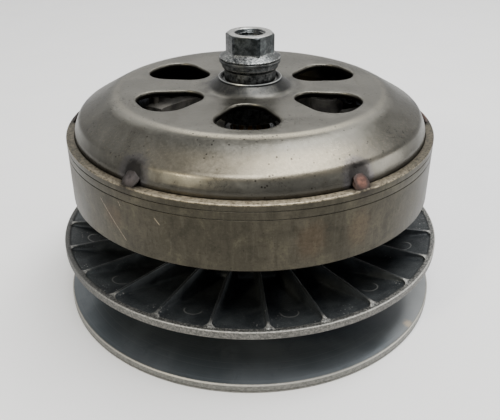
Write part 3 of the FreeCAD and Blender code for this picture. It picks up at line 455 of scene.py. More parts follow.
def clutch_nut():
    """Flange nut: grained flange edge, cone, chamfered hexagon and threaded bore."""
    angles = [360 * k / NUT_SEGMENTS for k in range(NUT_SEGMENTS)]
    hexes = [hex_radius(angle - from_front(NUT_TURN)) for angle in angles]
    grain = []
    for k in range(NUT_SEGMENTS):
        grain.append(0.07 * (k % 3 == 0) + 0.04 * noise.noise(Vector((k * 0.9, 0, 4))))
    flange_top = WASHER_TOP + FLANGE_THICK

    def ring(radii, heights):
        return [(*polar(r, a), z) for r, a, z in zip(radii, angles, heights)]

    def even(radius, height):
        return circle(radius, height, NUT_SEGMENTS)

    def grained(radius, height):
        return ring([radius - g for g in grain], [height] * NUT_SEGMENTS)

    cone = [flange_top + (WASHER_R - r) * CONE_RISE / CONE_RUN for r in hexes]
    crown = [NUT_TOP - NUT_CHAMFER + 0.8 * (NUT_CORNER_R - r) for r in hexes]
    rings = [
        even(SINK_R, WASHER_TOP + 0.001),
        even(WASHER_R - 0.35, WASHER_TOP + 0.001),
        grained(WASHER_R - 0.12, WASHER_TOP + 0.2),
        grained(WASHER_R - 0.02, WASHER_TOP + 0.4),
        grained(WASHER_R - 0.04, flange_top - 0.15),
        even(WASHER_R - 0.3, flange_top + 0.05),
        ring([r + 0.35 for r in hexes], [z - 0.17 for z in cone]),
        ring([r + 0.08 for r in hexes], [z + 0.02 for z in cone]),
        ring(hexes, [z + 0.3 for z in cone]),
        ring(hexes, [z - 0.1 for z in crown]),
        ring([r - 0.08 for r in hexes], [z + 0.06 for z in crown]),
        even(NUT_FLAT_R - 0.14, NUT_TOP - 0.02),
        even(NUT_FLAT_R - 0.32, NUT_TOP),
        even(SINK_R + 0.15, NUT_TOP),
        even(SINK_R, NUT_TOP - 0.1),
        even(THREAD_R + 0.65, NUT_TOP - 0.75),
    ]
    bottom = WASHER_TOP + 0.95
    for height in np.arange(NUT_TOP - 0.95, bottom, -THREAD_PITCH / 6):
        waves = [((height / THREAD_PITCH - a / 360) % 1) for a in angles]
        radii = [THREAD_R + THREAD_DEPTH * abs(2 * w - 1) for w in waves]
        rings.append(ring(radii, [height] * NUT_SEGMENTS))
    rings.append(even(THREAD_R + 0.65, bottom - 0.2))
    return new_piece("flange_nut", *skin(rings))


def flat_washer():
    bore = 6.5
    corners = [
        (bore, WASHER_Z, 0.2),
        (WASHER_R, WASHER_Z, 0.35),
        (WASHER_R, WASHER_TOP, 0.35),
        (bore, WASHER_TOP, 0.2),
    ]
    return lathe("washer_ring", corners, 144)


# --- sheaves ---
BORE_R = 24
CONE_FOOT_R = 41                           # where both cones meet their flats
FIXED_RIM = 3.9
FIXED_WEB_Z, FIXED_WEB_R = 10, 39
CLEAR = 0.02
RIB_FALL_R, RIB_FALL = 82, 0.26            # where the ribs' tops start to fall, and how fast
RIB_END_R = 84.5
POCKET_END_R = 83.7
POCKET_CORNER = 1.9
TUBE_R = 27
TUBE_SEAT = 2.055
MOVING_WEB = 4.555
MOVING_RIM = 3.6


def lower_sheave():
    foot_in = FIXED_R - 3
    under_r = foot_in - 2.5
    under_z = FIXED_RIM + (FIXED_R - under_r) * SHEAVE_SLOPE - 4.3
    corners = [
        (BORE_R, FIXED_WEB_Z),
        (FIXED_WEB_R, FIXED_WEB_Z, 2),
        (under_r, under_z, 2),
        (foot_in, FIXED_FOOT_Z, 0.3),
        (FIXED_R - 0.2, FIXED_FOOT_Z, 0.3),
        (FIXED_R, 0.8, 0.4),
        (FIXED_R, FIXED_RIM - 0.4, 0.25),
        (FIXED_R - 0.5, FIXED_RIM + 0.12, 0.3),
        (CONE_FOOT_R, FIXED_FLAT_Z - CLEAR, 1.5),
        (BORE_R, FIXED_FLAT_Z - CLEAR),
    ]
    return lathe("lower_sheave", corners, 288)


def rib_section(radius, floor):
    """Half of a rib and its pocket at one radius: distances from the rib's middle and heights."""
    eased = RIB_TOP - max(0, radius - RIB_FALL_R) * RIB_FALL
    top = max(eased if radius < RIB_END_R else floor, floor)
    depth = top - floor
    past = min(max(radius - (POCKET_END_R - POCKET_CORNER), 0), POCKET_CORNER * 0.97)
    half = RIB_HALF + POCKET_CORNER - math.sqrt(POCKET_CORNER ** 2 - past ** 2)
    edge = min(0.3, depth / 2)
    fillet = min(1, depth * 0.45)
    foot = half + RIB_DRAFT * depth
    middle = math.pi * radius / RIBS
    section = [
        (0, top),
        (half - edge, top),
        (half - 0.3 * edge, top - 0.3 * edge),
        (half, top - edge),
        (foot - RIB_DRAFT * fillet, floor + fillet),
        (foot + 0.3 * fillet, floor + 0.3 * fillet),
        (foot + fillet, floor),
    ]
    rest = middle - foot - fillet
    section += [(foot + fillet + rest * share, floor) for share in (0.25, 0.5, 0.75, 1)]
    return section


def ribbed_ring(radius, floor):
    """One ring of points round the sheave's back, over every rib and through every pocket."""
    half = rib_section(radius, floor)
    ring = []
    for i in range(RIBS):
        start = from_front(RIB_START) + 360 * i / RIBS
        for across, height in half:
            ring.append((*polar(radius, start + math.degrees(across / radius)), height))
        for across, height in half[-2:0:-1]:
            turn = start + 360 / RIBS - math.degrees(across / radius)
            ring.append((*polar(radius, turn), height))
    return ring


def plain_ring(radius, height):
    return [(x, y, height) for x, y, _ in ribbed_ring(radius, RIB_TOP)]


def upper_sheave():
    rim_top = RIB_TOP - 0.9
    rim_low = rim_top - MOVING_RIM
    web = MOVING_FLAT_Z + MOVING_WEB
    floor_end = rim_top - 0.5
    floor_start = web + 0.2
    start_r, end_r = 40, 83.2
    slope = (floor_end - floor_start) / (end_r - start_r)
    back = rounded([
        (POCKET_WALL_OUT - 0.6, RIB_TOP),
        (POCKET_WALL_OUT, RIB_TOP, 0.3),
        (POCKET_WALL_OUT + 0.5, floor_start - 0.3, 1.8),
        (start_r, floor_start),
    ], step=22)
    for radius in (*np.linspace(46, 78, 7), *np.linspace(79.5, 83, 8)):
        back.append((radius, floor_start + (radius - start_r) * slope))
    back += rounded([
        (end_r, floor_end),
        (83.9, rim_top, 0.4),
        (84.6, rim_top),
    ])
    rings = [ribbed_ring(radius, floor) for radius, floor in back]
    rest = rounded([
        (MOVING_R - 0.7, rim_top),
        (MOVING_R, rim_top - 0.15, 0.35),
        (MOVING_R, rim_low + 0.4, 0.25),
        (MOVING_R - 0.5, rim_low - 0.12, 0.3),
        (CONE_FOOT_R, MOVING_FLAT_Z, 1.5),
        (TUBE_R, MOVING_FLAT_Z),
        (TUBE_R, MOVING_FLAT_Z + TUBE_SEAT),
        (BORE_R, MOVING_FLAT_Z + TUBE_SEAT),
        (BORE_R, web),
        (POCKET_WALL_IN, web, 0.8),
        (POCKET_WALL_IN, RIB_TOP - 0.2, 0.2),
        (POCKET_WALL_IN + 0.4, RIB_TOP),
    ])
    rings += [plain_ring(radius, height) for radius, height in rest]
    return new_piece("upper_sheave", *skin(rings), sharp=40)


# --- springs ---
def main_coil():
    """Compression spring with closed, ground end turns."""
    gauge = 4.2
    turns = 5.6
    closed = 0.85
    middle_r = SPRING_OUT - gauge / 2
    low = SPRING_FOOT + gauge * 0.42         # a little of each end turn is ground off
    high = SPRING_TOP - gauge * 0.42
    open_share, closed_share = 0.93, 0.035
    steps = 64
    spine = []
    for k in range(int(turns * steps) + 1):
        turn = k / steps
        inner = min(max((turn - closed) / (turns - 2 * closed), 0), 1)
        ends = min(turn, closed) + max(turn - turns + closed, 0)
        share = open_share * inner + closed_share * ends / closed
        spine.append((*polar(middle_r, 360 * turn), low + (high - low) * share))
    points, faces = wire(spine, gauge / 2, sides=16)
    ground = [(x, y, min(max(z, SPRING_FOOT), SPRING_TOP)) for x, y, z in points]
    return new_piece("main_coil", ground, faces, sharp=50)


SHOES = 3
HOOK_WIRE = 1.2
HOOK_CLEAR = 0.4
LUG_PLACE = (58, 93)                     # radius, and angle on from the shoe's pivot
LUG_R, PIVOT_R = 1.8, 4
COIL_R, COIL_LONG, COIL_TURNS = 2.6, 9, 7


def shoe_coil(index):
    """Return spring: a loop on the shoe's lug, a close coil and a loop on the next pivot."""
    pivot = Vector(joint(f"shoe_{index}_swing")["pos_m"]) / MM
    low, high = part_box(f"shoe_spring_{index}")
    height = (low.z + high.z) / 2 / MM
    first = math.degrees(math.atan2(pivot.y, pivot.x))
    start = Vector((*polar(LUG_PLACE[0], first + LUG_PLACE[1]), height))
    end = Vector((*polar(Vector(pivot.xy).length, first + 360 / SHOES), height))
    way = (end - start).normalized()
    across = Vector((-way.y, way.x, 0))
    up = Vector((0, 0, 1))
    small = LUG_R + HOOK_CLEAR + HOOK_WIRE / 2
    large = PIVOT_R + HOOK_CLEAR + HOOK_WIRE / 2
    spine = []
    for angle in np.linspace(20, 330, 26):
        turn = math.radians(angle)
        spine.append(start + (way * math.cos(turn) + across * math.sin(turn)) * small)
    run = (end - start).length
    coil_start = (run - COIL_LONG + small - large) / 2
    spine.append(start + way * (coil_start - 1) * 0.7)
    for share in np.linspace(0, 1, COIL_TURNS * 20 + 1):
        turn = 2 * math.pi * COIL_TURNS * share
        ease = min(1, share * 14, (1 - share) * 14)
        lift = (across * math.sin(turn) - up * math.cos(turn)) * COIL_R * ease
        spine.append(start + way * (coil_start + COIL_LONG * share) + lift)
    for angle in np.linspace(210, -100, 30):
        turn = math.radians(angle)
        spine.append(end + (way * math.cos(turn) + across * math.sin(turn)) * large)
    piece = new_piece(f"shoe_coil_{index}", *wire(spine, HOOK_WIRE / 2, sides=8), sharp=60)
    return piece, start * MM, (start + way * (coil_start + COIL_LONG)) * MM


# --- materials ---
def tint(red, green, blue):
    """Screen colour, 0 to 255, as the linear colour that a shader takes."""
    linear = []
    for value in (red, green, blue):
        share = value / 255
        linear.append(share / 12.92 if share <= 0.04045 else ((share + 0.055) / 1.055) ** 2.4)
    return (*linear, 1)


class Finish:
    """One procedural material. Its noises and masks work in millimetres of the object at rest:
    masks are shares from 0 to 1, and colours are screen values laid over one another in turn."""

    def __init__(self, name, metallic, specular=0.5):
        self.material = bpy.data.materials.new(name)
        self.material.use_nodes = True
        self.tree = self.material.node_tree
        self.shader = self.tree.nodes["Principled BSDF"]
        self.shader.inputs["Metallic"].default_value = metallic
        self.shader.inputs["Specular IOR Level"].default_value = specular
        self.normal = None
        self.colour = None
        place = self.add("ShaderNodeTexCoord").outputs["Object"]
        self.place = self.vector("SCALE", place, scale=1 / MM)
        split = self.add("ShaderNodeSeparateXYZ", {0: self.place})
        self.x, self.y, self.z = split.outputs
        flat = self.combine(self.x, self.y, 0)
        self.radius = self.vector("LENGTH", flat)
        self.way = self.vector("NORMALIZE", flat)

    def add(self, kind, inputs=None, **settings):
        node = self.tree.nodes.new(kind)
        for name, value in settings.items():
            setattr(node, name, value)
        for key, value in (inputs or {}).items():
            if isinstance(value, bpy.types.NodeSocket):
                self.tree.links.new(value, node.inputs[key])
            else:
                node.inputs[key].default_value = value
        return node

    def vector(self, operation, a, b=None, scale=None):
        inputs = {0: a}
        if b is not None:
            inputs[1] = b
        if scale is not None:
            inputs["Scale"] = scale
        node = self.add("ShaderNodeVectorMath", inputs, operation=operation)
        scalar = operation in ("LENGTH", "DISTANCE", "DOT_PRODUCT")
        return node.outputs["Value" if scalar else "Vector"]

    def combine(self, x, y, z):
        return self.add("ShaderNodeCombineXYZ", {0: x, 1: y, 2: z}).outputs[0]

    def math(self, operation, a, b=0):
        return self.add("ShaderNodeMath", {0: a, 1: b}, operation=operation).outputs[0]

    def plus(self, a, b):
        return self.math("ADD", a, b)

    def minus(self, a, b):
        return self.math("SUBTRACT", a, b)

    def times(self, a, b):
        return self.math("MULTIPLY", a, b)

    def absolute(self, a):
        return self.math("ABSOLUTE", a)

    def stretch(self, x, y, z):
        """The place with each axis scaled, so that noise on it is drawn out."""
        return self.vector("MULTIPLY", self.place, (x, y, z))

    def noise(self, scale, detail=3, rough=0.55, warp=0, at=None):
        inputs = {"Vector": at or self.place, "Scale": scale}
        inputs |= {"Detail": detail, "Roughness": rough, "Distortion": warp}
        return self.add("ShaderNodeTexNoise", inputs).outputs[0]

    def cells(self, scale):
        inputs = {"Vector": self.place, "Scale": scale}
        return self.add("ShaderNodeTexVoronoi", inputs).outputs["Distance"]

    def band(self, value, low, high):
        """0 below low and 1 above high, or the other way round when low is the larger."""
        inputs = {"Value": value, "From Min": low, "From Max": high}
        return self.add("ShaderNodeMapRange", inputs, interpolation_type="SMOOTHSTEP").outputs[0]

    def beyond(self, low, high):
        """A band by the distance from the axis."""
        return self.band(self.radius, low, high)

    def above(self, low, high):
        """A band by the height."""
        return self.band(self.z, low, high)

    def stripe(self, value, middle, half, soft):
        """1 within half of the middle, fading over soft."""
        return self.band(self.absolute(self.minus(value, middle)), half + soft, half)

    def both(self, *shares):
        total = shares[0]
        for share in shares[1:]:
            total = self.times(total, share)
        return total

    def either(self, a, b):
        return self.math("MAXIMUM", a, b)

    def mix(self, share, a, b):
        a, b = (tint(*colour) if isinstance(colour, tuple) else colour for colour in (a, b))
        return self.add("ShaderNodeMix", {0: share, 6: a, 7: b}, data_type="RGBA").outputs[2]

    def over(self, colour, *shares):
        """Lays a colour over what is there, where all the shares agree."""
        self.colour = self.mix(self.both(*shares), self.colour, colour)

    def level(self, share, a, b):
        return self.add("ShaderNodeMix", {0: share, 2: a, 3: b}, data_type="FLOAT").outputs[0]

    def around_axis(self):
        """Angle from the front, in degrees."""
        turn = self.math("ARCTAN2", self.x, self.times(self.y, -1))
        return self.times(turn, 180 / math.pi)

    def from_welds(self, radius, height):
        """Distance from the nearest weld, measured from this radius and height."""
        upright = 0.75                       # how much a height counts
        low = self.stretch(1, 1, upright)
        nearest = 50
        for x, y, z in weld_places(radius, height):
            away = self.vector("DISTANCE", low, (x, y, upright * z))
            nearest = self.math("MINIMUM", away, nearest)
        return nearest

    def from_heat(self):
        """Ragged distance from the middle of the nearest weld's heat mark."""
        return self.plus(self.from_welds(HEAT_R, HEAT_Z), self.times(self.noise(0.5, 3), 3))

    def bump(self, height, strength, depth):
        inputs = {"Height": height, "Strength": strength, "Distance": depth * MM}
        if self.normal is not None:
            inputs["Normal"] = self.normal
        self.normal = self.add("ShaderNodeBump", inputs).outputs[0]

    def edges(self, width):
        """1 on convex and concave edges, from how far a rounded normal leans from the true one."""
        soft = self.add("ShaderNodeBevel", {"Radius": width * MM}, samples=4).outputs[0]
        true = self.add("ShaderNodeNewGeometry").outputs["Normal"]
        return self.band(self.vector("DOT_PRODUCT", soft, true), 0.995, 0.9)

    def crevices(self, distance):
        """1 in the open and 0 deep in a corner."""
        inputs = {"Distance": distance * MM}
        return self.add("ShaderNodeAmbientOcclusion", inputs, samples=8).outputs["AO"]

    def done(self, roughness):
        self.tree.links.new(self.colour, self.shader.inputs["Base Color"])
        self.tree.links.new(roughness, self.shader.inputs["Roughness"])
        if self.normal is not None:
            self.tree.links.new(self.normal, self.shader.inputs["Normal"])
        return self.material


def dome_finish():
    """Satin pressed steel: soft stains, a rubbed cone, painted highlights along the bend and on the
    cone's front, painted shade low on the shoulder, in the vents and at the lip's foot, pits, faint
    brushing round the neck.
    """
    f = Finish("dome_steel", 0.9)
    mottled = f.noise(0.05, 4, 0.6, 0.8)
    fine = f.noise(0.85, 6, 0.78)
    f.colour = f.mix(f.band(mottled, 0.35, 0.68), (88, 86, 79), (104, 102, 95))
    smear = f.noise(0.35, 4, 0.65, 1.2, at=f.stretch(0.35, 0.08, 0.2))
    f.over((70, 65, 55), f.band(smear, 0.5, 0.75), 0.4)
    f.over((124, 119, 109), f.band(fine, 0.5, 0.72), 0.3)
    f.over((62, 58, 50), f.band(fine, 0.46, 0.3), 0.35)
    spokes = f.noise(
        1, 5, 0.75, at=f.vector("ADD", f.vector("SCALE", f.way, scale=34), f.stretch(0.1, 0.1, 0))
    )
    neck = f.beyond(25, 15)
    f.over((112, 111, 106), neck, f.band(spokes, 0.5, 0.68), 0.3)
    f.over((58, 56, 51), neck, f.band(spokes, 0.5, 0.34), 0.3)
    sides = f.band(f.absolute(f.x), 9, 15)
    stain = f.both(f.stripe(f.radius, 17.5, 2, 5), sides, f.band(f.noise(0.2, 3), 0.35, 0.6))
    f.over((42, 40, 37), stain, 0.7)
    throat = f.both(
        f.beyond(20.5, 15), f.level(f.band(f.noise(0.25, 4, 0.7), 0.4, 0.62), 0.35, 0.9)
    )
    f.over((48, 48, 47), throat)
    lip = f.above(PLATE_LIP_Z - 0.9, PLATE_LIP_Z - 0.5)
    flare = f.both(f.beyond(18.5, 16), f.level(f.band(fine, 0.3, 0.6), 0.9, 0.5))
    f.over((46, 47, 47), flare)
    # the lip top and bore dark, with a painted shadow at the lip's foot
    f.over((24, 25, 25), f.beyond(14.1, 13.7))
    # painted highlight: a thin bright line on the lip's edge
    f.over((176, 178, 176), lip, f.stripe(f.radius, 13.35, 0.08, 0.14))
    ahead = f.band(f.absolute(f.minus(f.around_axis(), 4)), 48, 14)
    # painted highlight: a speckled bright line along the bend, strongest at the front
    bend = f.stripe(f.radius, PLATE_R - 18.5, 0.4, 1.7)
    speckle = f.band(f.noise(2.6, 4, 0.75), 0.4, 0.62)
    f.over((200, 191, 168), bend, f.level(speckle, 0.4, 1), f.level(ahead, 0.1, 0.75))
    cone = f.both(f.beyond(PLATE_R - 14, PLATE_R - 7), f.above(PLATE_TOP - 10.5, PLATE_TOP - 8))
    # painted highlight: the cone lighter at the front, where the overhead lamp reflects
    f.over((134, 125, 106), cone, ahead, 0.55)
    rubbed = f.band(f.noise(1.1, 5, 0.8), 0.5, 0.66)
    f.over((146, 136, 117), cone, rubbed, 0.3)
    # painted shade: the shoulder darker towards the bottom
    low = f.band(f.plus(f.z, f.times(mottled, 3)), DRUM_TOP + 7, DRUM_TOP + 2)
    f.over((40, 37, 32), low, 0.65)
    sparse = f.band(f.noise(0.07, 2), 0.44, 0.6)
    pitted = f.both(f.band(f.cells(0.42), 0.2, 0.1), sparse)
    f.over((30, 26, 21), pitted, 0.85)
    heat = f.from_heat()
    f.over((74, 72, 76), f.band(heat, 9.5, 7), 0.55)
    f.over((28, 26, 25), f.band(heat, 7.4, 4.8), 0.8)
    inside = f.above(PLATE_TOP - 0.75, PLATE_TOP - 1.3)
    flat = f.both(f.beyond(PLATE_R - 20, PLATE_R - 22), f.beyond(20, 22))
    rubbed_edge = f.both(f.edges(0.7), flat, f.band(inside, 0.6, 0), f.band(fine, 0.35, 0.55))
    f.over((158, 152, 140), rubbed_edge, 0.55)
    # painted shade: vent walls and the plate's underside near-black
    f.over((24, 21, 18), inside, flat)
    f.over((40, 36, 31), f.above(PLATE_FOOT_Z + 3.2, PLATE_FOOT_Z + 2.6))
    rough = f.level(f.band(mottled, 0.3, 0.7), 0.3, 0.38)
    grained = f.times(f.band(fine, 0.35, 0.7), 0.12)
    rough = f.plus(rough, f.minus(grained, 0.04))
    f.bump(fine, 0.22, 0.06)
    f.bump(f.noise(0.1, 2), 0.3, 0.5)
    f.bump(pitted, -0.6, 0.15)
    f.bump(f.both(spokes, neck), 0.2, 0.05)
    return f.done(rough)


def scratch(f, start, end, half):
    """Scratch on the drum's wall between two places: angle from the front, and height."""
    arc = math.pi * DRUM_R / 180
    from_x, from_z = start[0] * arc, start[1]
    run_x, run_z = end[0] * arc - from_x, end[1] - from_z
    length = math.hypot(run_x, run_z)
    way_x, way_z = run_x / length, run_z / length
    x = f.minus(f.times(f.around_axis(), arc), from_x)
    z = f.minus(f.z, from_z)
    along = f.plus(f.times(x, way_x), f.times(z, way_z))
    across = f.minus(f.times(x, way_z), f.times(z, way_x))
    within = f.both(f.band(along, 0, 1), f.band(along, length, length - 1))
    broken = f.band(f.noise(1.4, 3, 0.7), 0.34, 0.52)
    return f.both(f.stripe(across, 0, half, 0.12), within, broken)


def heat_patch(f, angle, height, wide, tall):
    """Soft patch on the drum's wall."""
    x, y = polar(DRUM_R, from_front(angle))
    squashed = f.vector(
        "MULTIPLY", f.vector("SUBTRACT", f.place, (x, y, height)), (1 / wide, 1 / wide, 1 / tall)
    )
    ragged = f.plus(f.vector("LENGTH", squashed), f.noise(0.35, 4, 0.7))
    return f.band(ragged, 1.6, 0.9)


def drum_finish():
    """Turned steel gone olive brown: heat patches, run marks, scratches and a grainy ledge with a
    painted highlight at its front.
    """
    f = Finish("drum_steel", 0.85)
    blotch = f.noise(0.035, 4, 0.6, 0.6)
    f.colour = f.mix(f.band(blotch, 0.34, 0.66), (54, 51, 42), (70, 66, 56))
    streak = f.noise(0.55, 5, 0.7, 0.5, at=f.stretch(1, 1, 0.09))
    f.over((38, 35, 28), f.band(streak, 0.5, 0.72), 0.45)
    f.over((84, 80, 68), f.band(streak, 0.48, 0.3), 0.3)
    mottle = f.noise(0.13, 7, 0.72, 0.5, at=f.vector("ADD", f.stretch(1, 1, 0.8), (3, 11, 7)))
    f.over((40, 38, 30), f.band(mottle, 0.5, 0.66), 0.55)
    f.over((88, 84, 68), f.band(mottle, 0.48, 0.34), 0.4)
    weave = f.noise(0.5, 4, 0.7, at=f.stretch(0.25, 0.25, 2.2))
    f.over((46, 42, 34), f.band(weave, 0.5, 0.72), 0.35)
    for angle, height, wide, tall in ((16, 63.5, 7, 9), (30, 63.8, 6, 9), (-40, 64.7, 6, 6)):
        f.over((88, 68, 49), heat_patch(f, angle, height, wide, tall), 0.22)
    turned = f.noise(1, 3, 0.7, at=f.combine(f.times(f.z, 5), f.radius, 0))
    f.over((86, 81, 69), f.band(turned, 0.5, 0.75), 0.25)
    fine = f.noise(0.9, 6, 0.8)
    f.over((34, 31, 25), f.band(fine, 0.5, 0.68), 0.5)
    f.over((92, 87, 73), f.band(fine, 0.46, 0.3), 0.3)
    long_mark = scratch(f, (-45.3, 70), (-35.5, 55.8), 0.1)
    short_mark = f.either(
        scratch(f, (-37.6, 72.3), (-36.4, 69.2), 0.09),
        scratch(f, (-25.6, 70.1), (-23.7, 67.1), 0.14),
    )
    lines = f.either(long_mark, short_mark)
    chips = f.both(f.band(f.cells(0.3), 0.1, 0.04), f.band(f.noise(0.08, 2), 0.5, 0.6))
    f.over((26, 23, 18), chips, 0.8)
    wall = f.beyond(DRUM_R - 0.6, DRUM_R - 0.2)
    f.over((150, 138, 118), lines, wall, 0.6)
    grooves = f.both(f.beyond(DRUM_R - 0.06, DRUM_R - 0.15), f.above(DRUM_TOP - 8, DRUM_TOP - 7.5))
    grooves = f.both(grooves, f.above(DRUM_TOP - 0.9, DRUM_TOP - 1.4))
    broken = f.band(f.noise(0.25, 4, 0.7), 0.3, 0.55)
    f.over((20, 18, 14), grooves, f.level(broken, 0.15, 0.75))
    grain = f.noise(0.75, 6, 0.82)
    ledge = f.both(f.above(DRUM_TOP - 0.4, DRUM_TOP - 0.15), f.beyond(PLATE_R + 0.2, PLATE_R + 0.8))
    # painted highlight: the ledge's grain brighter towards the front
    ahead = f.band(f.absolute(f.around_axis()), 62, 12)
    pale = f.mix(f.band(grain, 0.36, 0.64), (46, 43, 36), (92, 86, 74))
    bright = f.mix(f.band(grain, 0.34, 0.6), (92, 84, 70), (190, 178, 154))
    f.over(f.mix(ahead, pale, bright), ledge)
    # painted highlight along the ledge's edge, strongest at the front
    lip = f.both(
        f.stripe(f.z, DRUM_TOP - 0.3, 0.12, 0.25), f.band(grain, 0.42, 0.6),
        f.level(ahead, 0.35, 0.8),
    )
    f.over((170, 158, 134), lip)
    foot = f.both(f.stripe(f.z, DRUM_Z + 0.5, 0.2, 0.3), f.band(grain, 0.5, 0.66))
    f.over((120, 110, 92), foot, 0.4)
    heat = f.from_heat()
    f.over((40, 36, 33), f.band(heat, 9.5, 7), 0.5)
    f.over((22, 20, 18), f.band(heat, 7.6, 5.6), 0.8)
    under = f.beyond(PLATE_R + 0.5, PLATE_R - 0.2)
    f.over((70, 66, 60), under)
    rough = f.level(f.band(blotch, 0.3, 0.7), 0.4, 0.5)
    rough = f.level(lines, rough, 0.3)
    rough = f.level(ledge, rough, 0.5)
    f.bump(turned, 0.2, 0.04)
    f.bump(fine, 0.3, 0.08)
    f.bump(streak, 0.15, 0.1)
    f.bump(lines, -0.3, 0.06)
    f.bump(f.both(grain, ledge), 0.25, 0.06)
    return f.done(rough)


def weld_finish():
    """Weld beads with rippled skin: the one at the front left sooty grey, the others rusty."""
    f = Finish("weld_steel", 0.4)
    patch = f.noise(0.35, 4, 0.65)
    rusty = f.mix(f.band(patch, 0.35, 0.65), (78, 52, 44), (122, 84, 70))
    grey = f.mix(f.band(patch, 0.35, 0.65), (40, 36, 36), (74, 68, 68))
    f.colour = f.mix(f.band(f.x, -6, 6), grey, rusty)
    border = f.plus(f.from_welds(WELD_R, WELD_Z), f.times(patch, 1.6))
    f.over((36, 31, 29), f.band(border, 2, 3.7), 0.85)
    fine = f.noise(1.8, 4, 0.7)
    f.over((36, 29, 26), f.band(fine, 0.5, 0.7), 0.5)
    f.bump(fine, 0.4, 0.2)
    f.bump(patch, 0.3, 0.4)
    return f.done(f.level(patch, 0.5, 0.7))


def ribbed_finish():
    """Black cast iron with rubbed rib tops, a grainy rim with painted shade on its left side, and
    pale specks near it.
    """
    f = Finish("ribbed_casting", 0.55)
    cast = f.noise(0.9, 6, 0.8)
    cloud = f.noise(0.09, 4, 0.6, 0.5)
    f.colour = f.mix(f.band(cloud, 0.36, 0.66), (34, 38, 41), (58, 62, 64))
    f.over((80, 82, 82), f.band(cast, 0.52, 0.72), 0.5)
    fall = f.times(f.math("MAXIMUM", f.minus(f.radius, RIB_FALL_R), 0), RIB_FALL)
    lifted = f.plus(f.z, fall)
    top = f.band(lifted, RIB_TOP - 0.5, RIB_TOP - 0.1)
    worn = f.band(f.noise(0.8, 5, 0.8), 0.36, 0.6)
    f.over((58, 60, 60), top, f.level(worn, 0.2, 0.9))
    outer = f.beyond(80, 83)
    f.over((150, 149, 144), top, outer, f.level(worn, 0.2, 1))
    near = f.beyond(62, 82)
    gathered = f.band(f.noise(0.06, 3, at=f.vector("ADD", f.place, (17, 5, 0))), 0.5, 0.64)
    x, y = polar(79, from_front(27.5))
    cluster = f.band(f.vector("DISTANCE", f.combine(f.x, f.y, 0), (x, y, 0)), 5, 3)
    gathered = f.either(gathered, cluster)
    specks = f.both(f.band(f.cells(0.75), 0.24, 0.14), near, gathered)
    sand = f.both(f.band(f.noise(2.4, 4, 0.8), 0.58, 0.66), f.beyond(76, 83), 0.55)
    specks = f.either(specks, sand)
    f.over((168, 167, 162), specks, 0.8)
    rim_top = f.both(f.beyond(83.4, 84), f.above(RIB_TOP - 1.5, RIB_TOP - 1))
    grain = f.band(f.noise(1.1, 5, 0.8), 0.4, 0.68)
    f.over(f.mix(grain, (40, 41, 41), (128, 127, 122)), rim_top)
    wall = f.beyond(MOVING_R - 0.35, MOVING_R - 0.1)
    f.over(f.mix(grain, (74, 73, 70), (128, 126, 120)), wall)
    crest = f.both(
        f.stripe(f.z, RIB_TOP - 1.05, 0.12, 0.2), f.beyond(MOVING_R - 0.6, MOVING_R - 0.3)
    )
    f.over((188, 186, 178), crest, f.level(grain, 0.4, 1))
    # painted shade: the rim darker on the left
    left_rim_shade = f.both(f.band(f.around_axis(), -28, -58), f.beyond(83, 83.8), 0.75)
    f.over((46, 46, 45), left_rim_shade)
    ring_mark = ejector_marks(f)
    f.over((116, 117, 115), ring_mark, 0.85)
    rough = f.level(f.band(cast, 0.3, 0.7), 0.42, 0.62)
    rough = f.level(top, rough, 0.36)
    f.bump(cast, 0.6, 0.22)
    f.bump(cloud, 0.3, 0.6)
    f.bump(ring_mark, -0.8, 0.3)
    f.bump(f.both(grain, wall), 0.4, 0.15)
    return f.done(rough)


def ejector_marks(f):
    """Thin circles in every second pocket, where the casting's ejector pins stood."""
    pitch = 2 * 360 / RIBS
    first = RIB_START + 180 / RIBS
    shifted = f.plus(f.minus(f.around_axis(), first), 360 + pitch / 2)
    within = f.minus(f.math("MODULO", shifted, pitch), pitch / 2)
    across = f.times(f.times(within, math.pi / 180), f.radius)
    out = f.minus(f.radius, 72.3)
    away = f.vector("LENGTH", f.combine(across, out, 0))
    floor = f.above(RIB_TOP - 1.5, RIB_TOP - 2.2)
    outer_half = f.band(out, -1.5, 1)
    return f.both(
        f.stripe(away, 3.5, 0.14, 0.24), floor, outer_half,
        f.above(MOVING_FLAT_Z + 9.2, MOVING_FLAT_Z + 10.4),
    )


